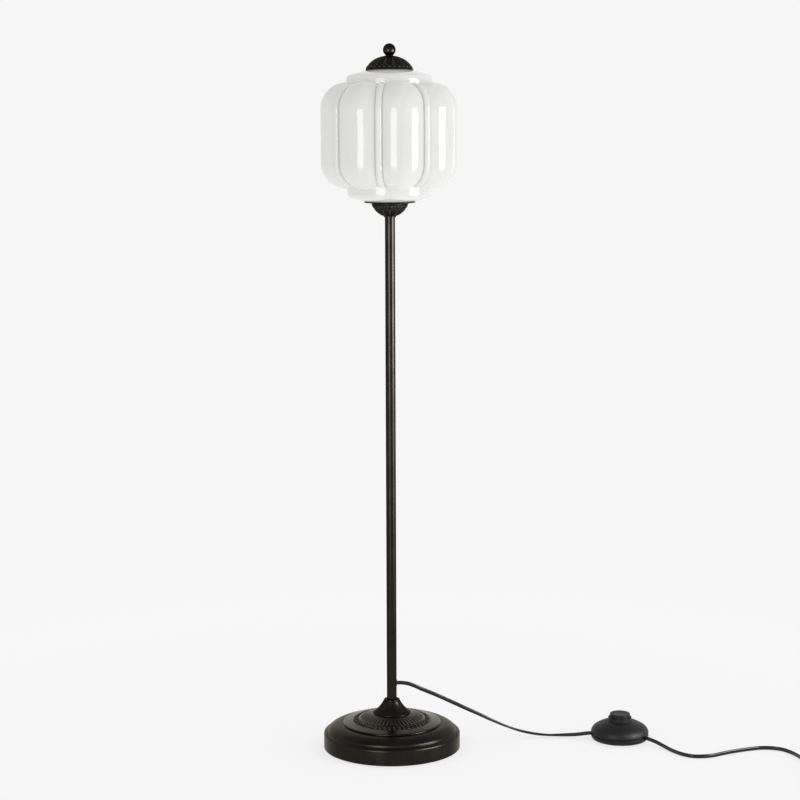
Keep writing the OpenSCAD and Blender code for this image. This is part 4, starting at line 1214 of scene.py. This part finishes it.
# foot switch: a shallow lower half, a domed upper half and a push button
switchLook = {
    "at": (375, 38, 0),
    "r": 47.5,
    "footR": 44.5,
    "up": 0.8,
    "seam": 9.5,
    "seamTall": 1.1,
    "lip": 0.8,
    "coverIn": 0.9,
    "coverBow": 4,
    "domeTall": 24.5,
    "sideR": 15,
    "wall": 2,
    "grooveR": 32.5,
    "grooveWide": 0.55,
    "grooveDeep": 0.6,
    "collarTop": 37,
    "collarDrop": 8,
    "collarWall": 2.2,
    "boreR": 16.8,
    "cornerTall": 4,
    "inletTurns": (180, -36.87),
    "inletZ": 9,
    "inletDeep": 4,
    "inletOut": 1,
    "inletRoom": 0.6,
    "edge": 0.45,
}


def cutInlets(piece):
    # an opening at the seam on both sides, where the lead goes in and out
    look = switchLook
    room = look["inletRoom"]
    size = (look["inletDeep"], lead["thick"] / mm + room, lead["wide"] / mm + room)
    middle = (look["r"] - look["inletDeep"] / 2 + look["inletOut"], 0, look["inletZ"])
    for turn in look["inletTurns"]:
        cutBy(piece, moveTo(blockOf(size, middle), turn=(0, 0, turn)))
    return smoothBy(piece, 34)


def switchHalf(half, node):
    # one half of the switch, cut for the lead and put in its place
    moveTo(cutInlets(half), place=switchLook["at"])
    stands(half, finishes["black_plastic"], "black_plastic", node)


def makeSwitch():
    look = switchLook
    r, up, wall, seam = look["r"], look["up"], look["wall"], look["seam"]
    foot, side = (look["footR"], up), (r - look["lip"] / 2, seam - look["seamTall"])
    neckR = side[0] - wall
    profile = [(0, up), *arcThrough(foot, side, seam, steps=14), (neckR, side[1]),
               (neckR, seam), (neckR - wall, seam), (neckR - wall, up + look["cornerTall"]),
               (look["footR"] - wall, up + wall), (0, up + wall)]
    base = softEdges(turned("switch_lower", profile, closed=False), look["edge"] / 2, 2)
    switchHalf(base, "switch_base")

    outer = []
    collarR = look["boreR"] + look["collarWall"]
    for x, z in ovalOutline(r, look["domeTall"], look["sideR"], steps=90):
        dip = look["grooveDeep"] * math.exp(-((x - look["grooveR"]) / look["grooveWide"]) ** 2)
        # the side draws in a little towards the seam
        drawn = look["coverIn"] * max(0, 1 - z / look["coverBow"]) ** 2
        if x > collarR:
            outer.append((x - drawn, z + seam - dip))
    under = ovalOutline(r - wall, look["domeTall"] - wall, look["sideR"], steps=30)
    inner = [(x, z + seam) for x, z in under if x > collarR]
    bottom = look["collarTop"] - look["collarDrop"]
    profile = outer + [(collarR, look["collarTop"]), (look["boreR"], look["collarTop"]),
                       (look["boreR"], bottom), (collarR, bottom)] + inner[::-1]
    switchHalf(softEdges(turned("switch_upper", profile), look["edge"]), "switch_cover")


buttonLook = {
    "r": 16.5,
    "flange": 1.3,
    "flangeTall": 1.5,
    "groove": 0.5,
    "grooveUp": 2.5,
    "grooveTall": 0.8,
    "round": 1.2,
    "rim": 2.2,
    "dish": 0.7,
    "dishBow": 0.7,
    "dishSteps": 8,
    "wall": 2.4,
    "crown": 3.4,
    "edge": 0.2,
}


def makeButton():
    look = buttonLook
    low, high = boxOf("switch_button")
    flangeTop = low.z + look["flangeTall"]
    grooveZ = switchLook["collarTop"] + look["grooveUp"]
    r = look["r"]
    side = [(r, flangeTop), (r, grooveZ), (r - look["groove"], grooveZ),
            (r - look["groove"], grooveZ + look["grooveTall"]), (r, grooveZ + look["grooveTall"])]
    edge = arc((r - look["round"], high.z - look["round"]), look["round"], 0, 90, steps=8)
    dishR = r - look["round"] - look["rim"]
    dish = []
    for k in range(look["dishSteps"] + 1):
        share = k / look["dishSteps"]
        hollow = look["dish"] * math.sin(share * math.pi / 2) ** look["dishBow"]
        dish.append((dishR * (1 - share), high.z - hollow))
    inside = r - look["wall"]
    under = [(0, high.z - look["crown"]), (inside, high.z - look["crown"]), (inside, low.z)]
    profile = [*dish[::-1], *edge[::-1], *side[::-1], (r + look["flange"], flangeTop),
               (r + look["flange"], low.z), *under[::-1]]
    button = softEdges(turned("switch_push", profile, closed=False), look["edge"], 2)
    moveTo(button, place=switchLook["at"])
    stands(button, finishes["black_plastic"], "black_plastic", "switch_button", body="button")


# the spring under the button, which the button presses shorter; here it is drawn at its rest length
springLook = {"r": 5, "wireR": 0.45, "wireSides": 8, "curls": 7, "curlSteps": 24}


def makeSpring():
    look = springLook
    low, high = boxOf("button_spring")
    press = next(joint for joint in frame["joints"] if joint["name"] == "button_press")
    travel = max(press["range_m"]) / mm
    atX, atY, _ = switchLook["at"]
    steps = look["curls"] * look["curlSteps"]
    startZ, endZ = low.z + look["wireR"], high.z - look["wireR"]
    path = []
    for i in range(steps + 1):
        turn = 2 * math.pi * i / look["curlSteps"]
        x, y = atX + look["r"] * math.cos(turn), atY + look["r"] * math.sin(turn)
        path.append(Vector((x, y, startZ + (endZ - startZ) * i / steps, 0)) * mm)
    wire = arc((0, 0), look["wireR"] * mm, 0, 360 - 360 / look["wireSides"], look["wireSides"] - 1)
    spring = sweptTube("switch_spring", path, wire)
    stands(spring, finishes["nickel"], "nickel", "button_spring")
    1 - travel / (high.z - low.z)
    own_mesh(spring)


makeSwitch()
makeButton()
makeSpring()
print("foot switch made")

# two-pin plug with a ribbed relief, and the tie round the coil
plugLook = {
    "at": (713, -203, 7),
    "relief": 24,
    "reliefIn": 1,
    "tipR": 4.2,
    "rootR": 5.6,
    "ribs": 5,
    "ribDeep": 0.75,
    "ribsEnd": 0.95,
    "bodyLong": 36,
    "bodyWide": 26.2,
    "bodyTall": 14,
    "backWide": 13,
    "backTall": 11.5,
    "shoulder": 15,
    "edge": 3.2,
    "pinR": 2,
    "pinRound": 1.2,
    "pinLong": 19,
    "pinGap": 18.6,
    "sleeve": 10,
    "sleeveIn": 0.5,
}


def makePlug():
    look = plugLook
    body = blockOf((look["bodyLong"] - look["shoulder"], look["bodyWide"], look["bodyTall"]),
                   ((look["bodyLong"] + look["shoulder"]) / 2, 0, 0))
    # the back end is drawn out and in to a narrow waist
    makeActive(body)
    editMode()
    objectMode()
    for face in body.data.polygons:
        face.select = face.normal.x < -0.9
    bpy.ops.object.mode_set(mode="EDIT")
    bpy.ops.mesh.extrude_region_move(TRANSFORM_OT_translate={"value": (-look["shoulder"] * mm, 0, 0)})
    grow = (1, look["backWide"] / look["bodyWide"], look["backTall"] / look["bodyTall"])
    bpy.ops.transform.resize(value=grow, center_override=(0, 0, 0))
    objectMode()
    softEdges(body, look["edge"], segments=6, angleDeg=20, smoothDeg=60)
    moveTo(body, place=(look["relief"], 0, 0))
    ribs = []
    steps = look["ribs"] * 8
    long = look["relief"] + look["reliefIn"]
    for k in range(steps + 1):
        share = k / steps
        wave = max(0, math.cos(2 * math.pi * share * look["ribs"])) ** 2
        groove = look["ribDeep"] * wave * (share < look["ribsEnd"])
        ribs.append((look["tipR"] + (look["rootR"] - look["tipR"]) * share - groove, share * long))
    relief = turned("plug_relief", [(0, 0), *ribs, (0, long)], sides=64, closed=False, smoothDeg=50)
    moveTo(relief, turn=(0, 90, 0))
    plug = joinAll([body, relief], "plug_moulded")
    moveTo(plug, place=look["at"])
    stands(plug, finishes["black_plastic"], "black_plastic", "plug_body")

    faceX = look["relief"] + look["bodyLong"]
    pinR, pinRound, sleeveTop = look["pinR"], look["pinRound"], look["sleeve"]
    tip = arc((pinR - pinRound, look["pinLong"] - pinRound), pinRound, 0, 90, steps=6)
    pinSide = [(0, sleeveTop), (pinR, sleeveTop), *tip, (0, look["pinLong"])]
    sleeveSide = [(0, -look["sleeveIn"]), (pinR, -look["sleeveIn"]), (pinR, sleeveTop), (0, sleeveTop)]
    pins, sleeves = [], []
    for side in (-1, 1):
        pin = turned("pin", pinSide, sides=48, closed=False, smoothDeg=50)
        sleeve = turned("sleeve", sleeveSide, sides=48, closed=False)
        for made, group in ((pin, pins), (sleeve, sleeves)):
            moveTo(made, turn=(0, 90, 0))
            moveTo(made, place=(faceX, side * look["pinGap"] / 2, 0))
            moveTo(made, place=look["at"])
            group.append(made)
    metal = stands(joinAll(pins, "plug_pin_tips"), finishes["nickel"], "nickel", "plug_pins")
    cover = stands(joinAll(sleeves, "plug_pin_sleeves"), finishes["black_plastic"], "black_plastic")
    return plug, metal, cover


def roundAlongY(block, corner):
    # rounds a block's four edges that run along y
    makeActive(block)
    editMode()
    bpy.ops.mesh.select_mode(type="EDGE")
    objectMode()
    places = block.data.vertices
    for edge in block.data.edges:
        a, b = (places[i].co for i in edge.vertices)
        edge.select = abs(a.y - b.y) > mm
    bpy.ops.object.mode_set(mode="EDIT")
    bpy.ops.mesh.bevel(offset=corner * mm, segments=5, affect="EDGES")
    bpy.ops.mesh.select_mode(type="VERT")
    objectMode()


tieLook = {"thick": 0.9, "corner": 3.2, "cutPast": 1, "edge": 0.3}


def makeTie():
    # a flat strap round all the turns on one side of the coil
    look = tieLook
    low, high = boxOf("cord_tie")
    size, middle = high - low, (low + high) / 2
    strap = blockOf(size, middle)
    wall = Vector((look["thick"], -look["cutPast"], look["thick"]))
    hollow = blockOf(size - 2 * wall, middle)
    for block, corner in ((strap, look["corner"]), (hollow, look["corner"] - look["thick"])):
        roundAlongY(block, corner)
    cutBy(strap, hollow)
    softEdges(strap, look["edge"], segments=2, angleDeg=60)
    strap.name = "coil_tie_strap"
    return stands(strap, finishes["black_plastic"], "black_plastic", "cord_tie")


plugPieces = makePlug()
tie = makeTie()
print("plug and tie made")

# pieces that keep their CAD shape get their finish here
carried = {
    "cast_iron": ["base_weight"],
    "felt": ["base_pad"],
    "zinc_steel": ["base_washer", "base_nut", "foot_stud", "pole_coupler", "head_stud", "head_nut",
                   "harp_saddle", "switch_screws"],
    "brass": ["harp", "holder_thread"],
    "black_plastic": ["cord_bushing", "lampholder"],
    "black_rubber": ["lower_gasket", "upper_gasket", "switch_feet"],
    "bulb_glass": ["bulb_globe"],
    "white_plastic": ["switch_core"],
    "nickel": ["bulb_cap"],
    "cord_vinyl": ["inner_flex"],
}
for slot, nodes in carried.items():
    for node in nodes:
        mesh = frame["nodes"][node].data
        mesh.materials.clear()
        mesh.materials.append(finishes[slot])
print("carried pieces finished:", sum(len(nodes) for nodes in carried.values()))

pathLength(upperPath)
pathLength(lowerPath)

# a pale floor and world: white for the camera and for reflections, and a soft
# grey light on everything else
stageLook = {
    "paper": 0.921,
    "worldLight": 0.855,
    "fromRight": 0.17,
    "fromAbove": -0.16,
    "bounce": 0.95,
    "floorSize": 12,
    "shadowR": 0.75,
    "shadowShare": 0.35,
    "shadowTone": 0.95,
    "shadowLift": 0.114,
    "ceiling": [(0.45, 1.0), (0.88, 0.5)],
}


def seenRays(made):
    # 1 for camera, glossy and transmission rays, and 0 for the rest
    rays = [made.node("ShaderNodeLightPath", output=name)
            for name in ("Is Camera Ray", "Is Glossy Ray", "Is Transmission Ray")]
    return made.node("ShaderNodeMath", {"operation": "ADD", "use_clamp": True},
                     {0: rays[0] + rays[1], 1: rays[2]})


def makeWorld():
    world = bpy.data.worlds.new("paleRoom")
    scene.world = world
    made = Finish(world)
    made.tree.nodes.clear()
    paper = stageLook["paper"]
    way = made.node("ShaderNodeTexCoord", output="Generated")
    side = made.node("ShaderNodeSeparateXYZ", inputs={"Vector": way}, output="X")
    tall = made.node("ShaderNodeSeparateXYZ", inputs={"Vector": way}, output="Z")
    light = stageLook["worldLight"] + side * stageLook["fromRight"] + tall * stageLook["fromAbove"]
    # gloss sees the pale walls all round and a darker ceiling
    gloss = made.node("ShaderNodeLightPath", output="Is Glossy Ray")
    ceiling = made.ramp(tall, stageLook["ceiling"])
    seen = made.node("ShaderNodeBackground", inputs={"Color": (paper, paper, paper, 1),
                                                     "Strength": 1 - gloss * (1 - ceiling)})
    glow = made.node("ShaderNodeBackground", inputs={"Color": (1, 1, 1, 1), "Strength": light})
    both = made.node("ShaderNodeMixShader", inputs={0: seenRays(made), 1: glow, 2: seen})
    made.node("ShaderNodeOutputWorld", inputs={"Surface": both})


def makeFloor():
    deselectAll()
    bpy.ops.mesh.primitive_plane_add(size=stageLook["floorSize"])
    floor = bpy.context.object
    floor.name = "floor"
    made = Finish("paleFloor")
    made.tree.nodes.clear()
    paper, tone = stageLook["paper"], stageLook["shadowTone"]
    spot = made.node("ShaderNodeTexCoord", output="Object")
    far = made.node("ShaderNodeVectorMath", {"operation": "LENGTH"}, {0: spot}, "Value")
    near = made.ramp(far * (1 / stageLook["shadowR"] / 2), [(0.45, 1.0), (0.95, 0.0)])
    # the glow rises where the shadow's share takes some of it away
    lift = 1 + near * (stageLook["shadowLift"] / paper)
    paperGlow = made.node("ShaderNodeEmission", inputs={"Color": (paper, paper, paper, 1), "Strength": lift})
    matt = made.node("ShaderNodeBsdfDiffuse", inputs={"Color": (tone, tone, tone, 1)})
    share = near * stageLook["shadowShare"]
    seen = made.node("ShaderNodeMixShader", inputs={0: share, 1: paperGlow, 2: matt})
    bounce = stageLook["bounce"]
    glow = made.node("ShaderNodeEmission", inputs={"Color": (bounce, bounce, bounce, 1)})
    both = made.node("ShaderNodeMixShader", inputs={0: seenRays(made), 1: glow, 2: seen})
    made.node("ShaderNodeOutputMaterial", inputs={"Surface": both})
    floor.data.materials.append(made.owner)


# soft lamps on both sides of the camera: gloss shows a bright panel over a weaker
# one, and a third lights the matt surfaces
lampLook = {
    "far": 1.6,
    "left": {"turnDeg": -23.5, "wide": 0.70, "gloss": 11, "below": 3.0, "soft": 0.5},
    "right": {"turnDeg": 69, "wide": 0.82, "gloss": 25, "below": 6, "soft": 2.9},
    "panels": {"gloss": (0.42, 1.12), "below": (0.02, 0.42), "soft": (0.15, 1.12)},
}


def makeLamp(name):
    look = lampLook[name]
    turn = math.radians(look["turnDeg"])
    for kind, (low, high) in lampLook["panels"].items():
        data = bpy.data.lights.new(name + "_" + kind, "AREA")
        data.shape = "RECTANGLE"
        data.size = look["wide"]
        data.size_y = high - low
        data.energy = look[kind] * look["wide"] * (high - low) * math.pi
        lamp = bpy.data.objects.new(data.name, data)
        scene.collection.objects.link(lamp)
        far = lampLook["far"]
        lamp.location = (far * math.sin(turn), -far * math.cos(turn), (low + high) / 2)
        lamp.rotation_euler = (math.radians(90), 0, turn)
        lamp.visible_camera = False
        lamp.visible_diffuse = kind == "soft"
        lamp.visible_glossy = kind != "soft"


makeWorld()
makeFloor()
makeLamp("left")
makeLamp("right")
print("stage and lamps set")
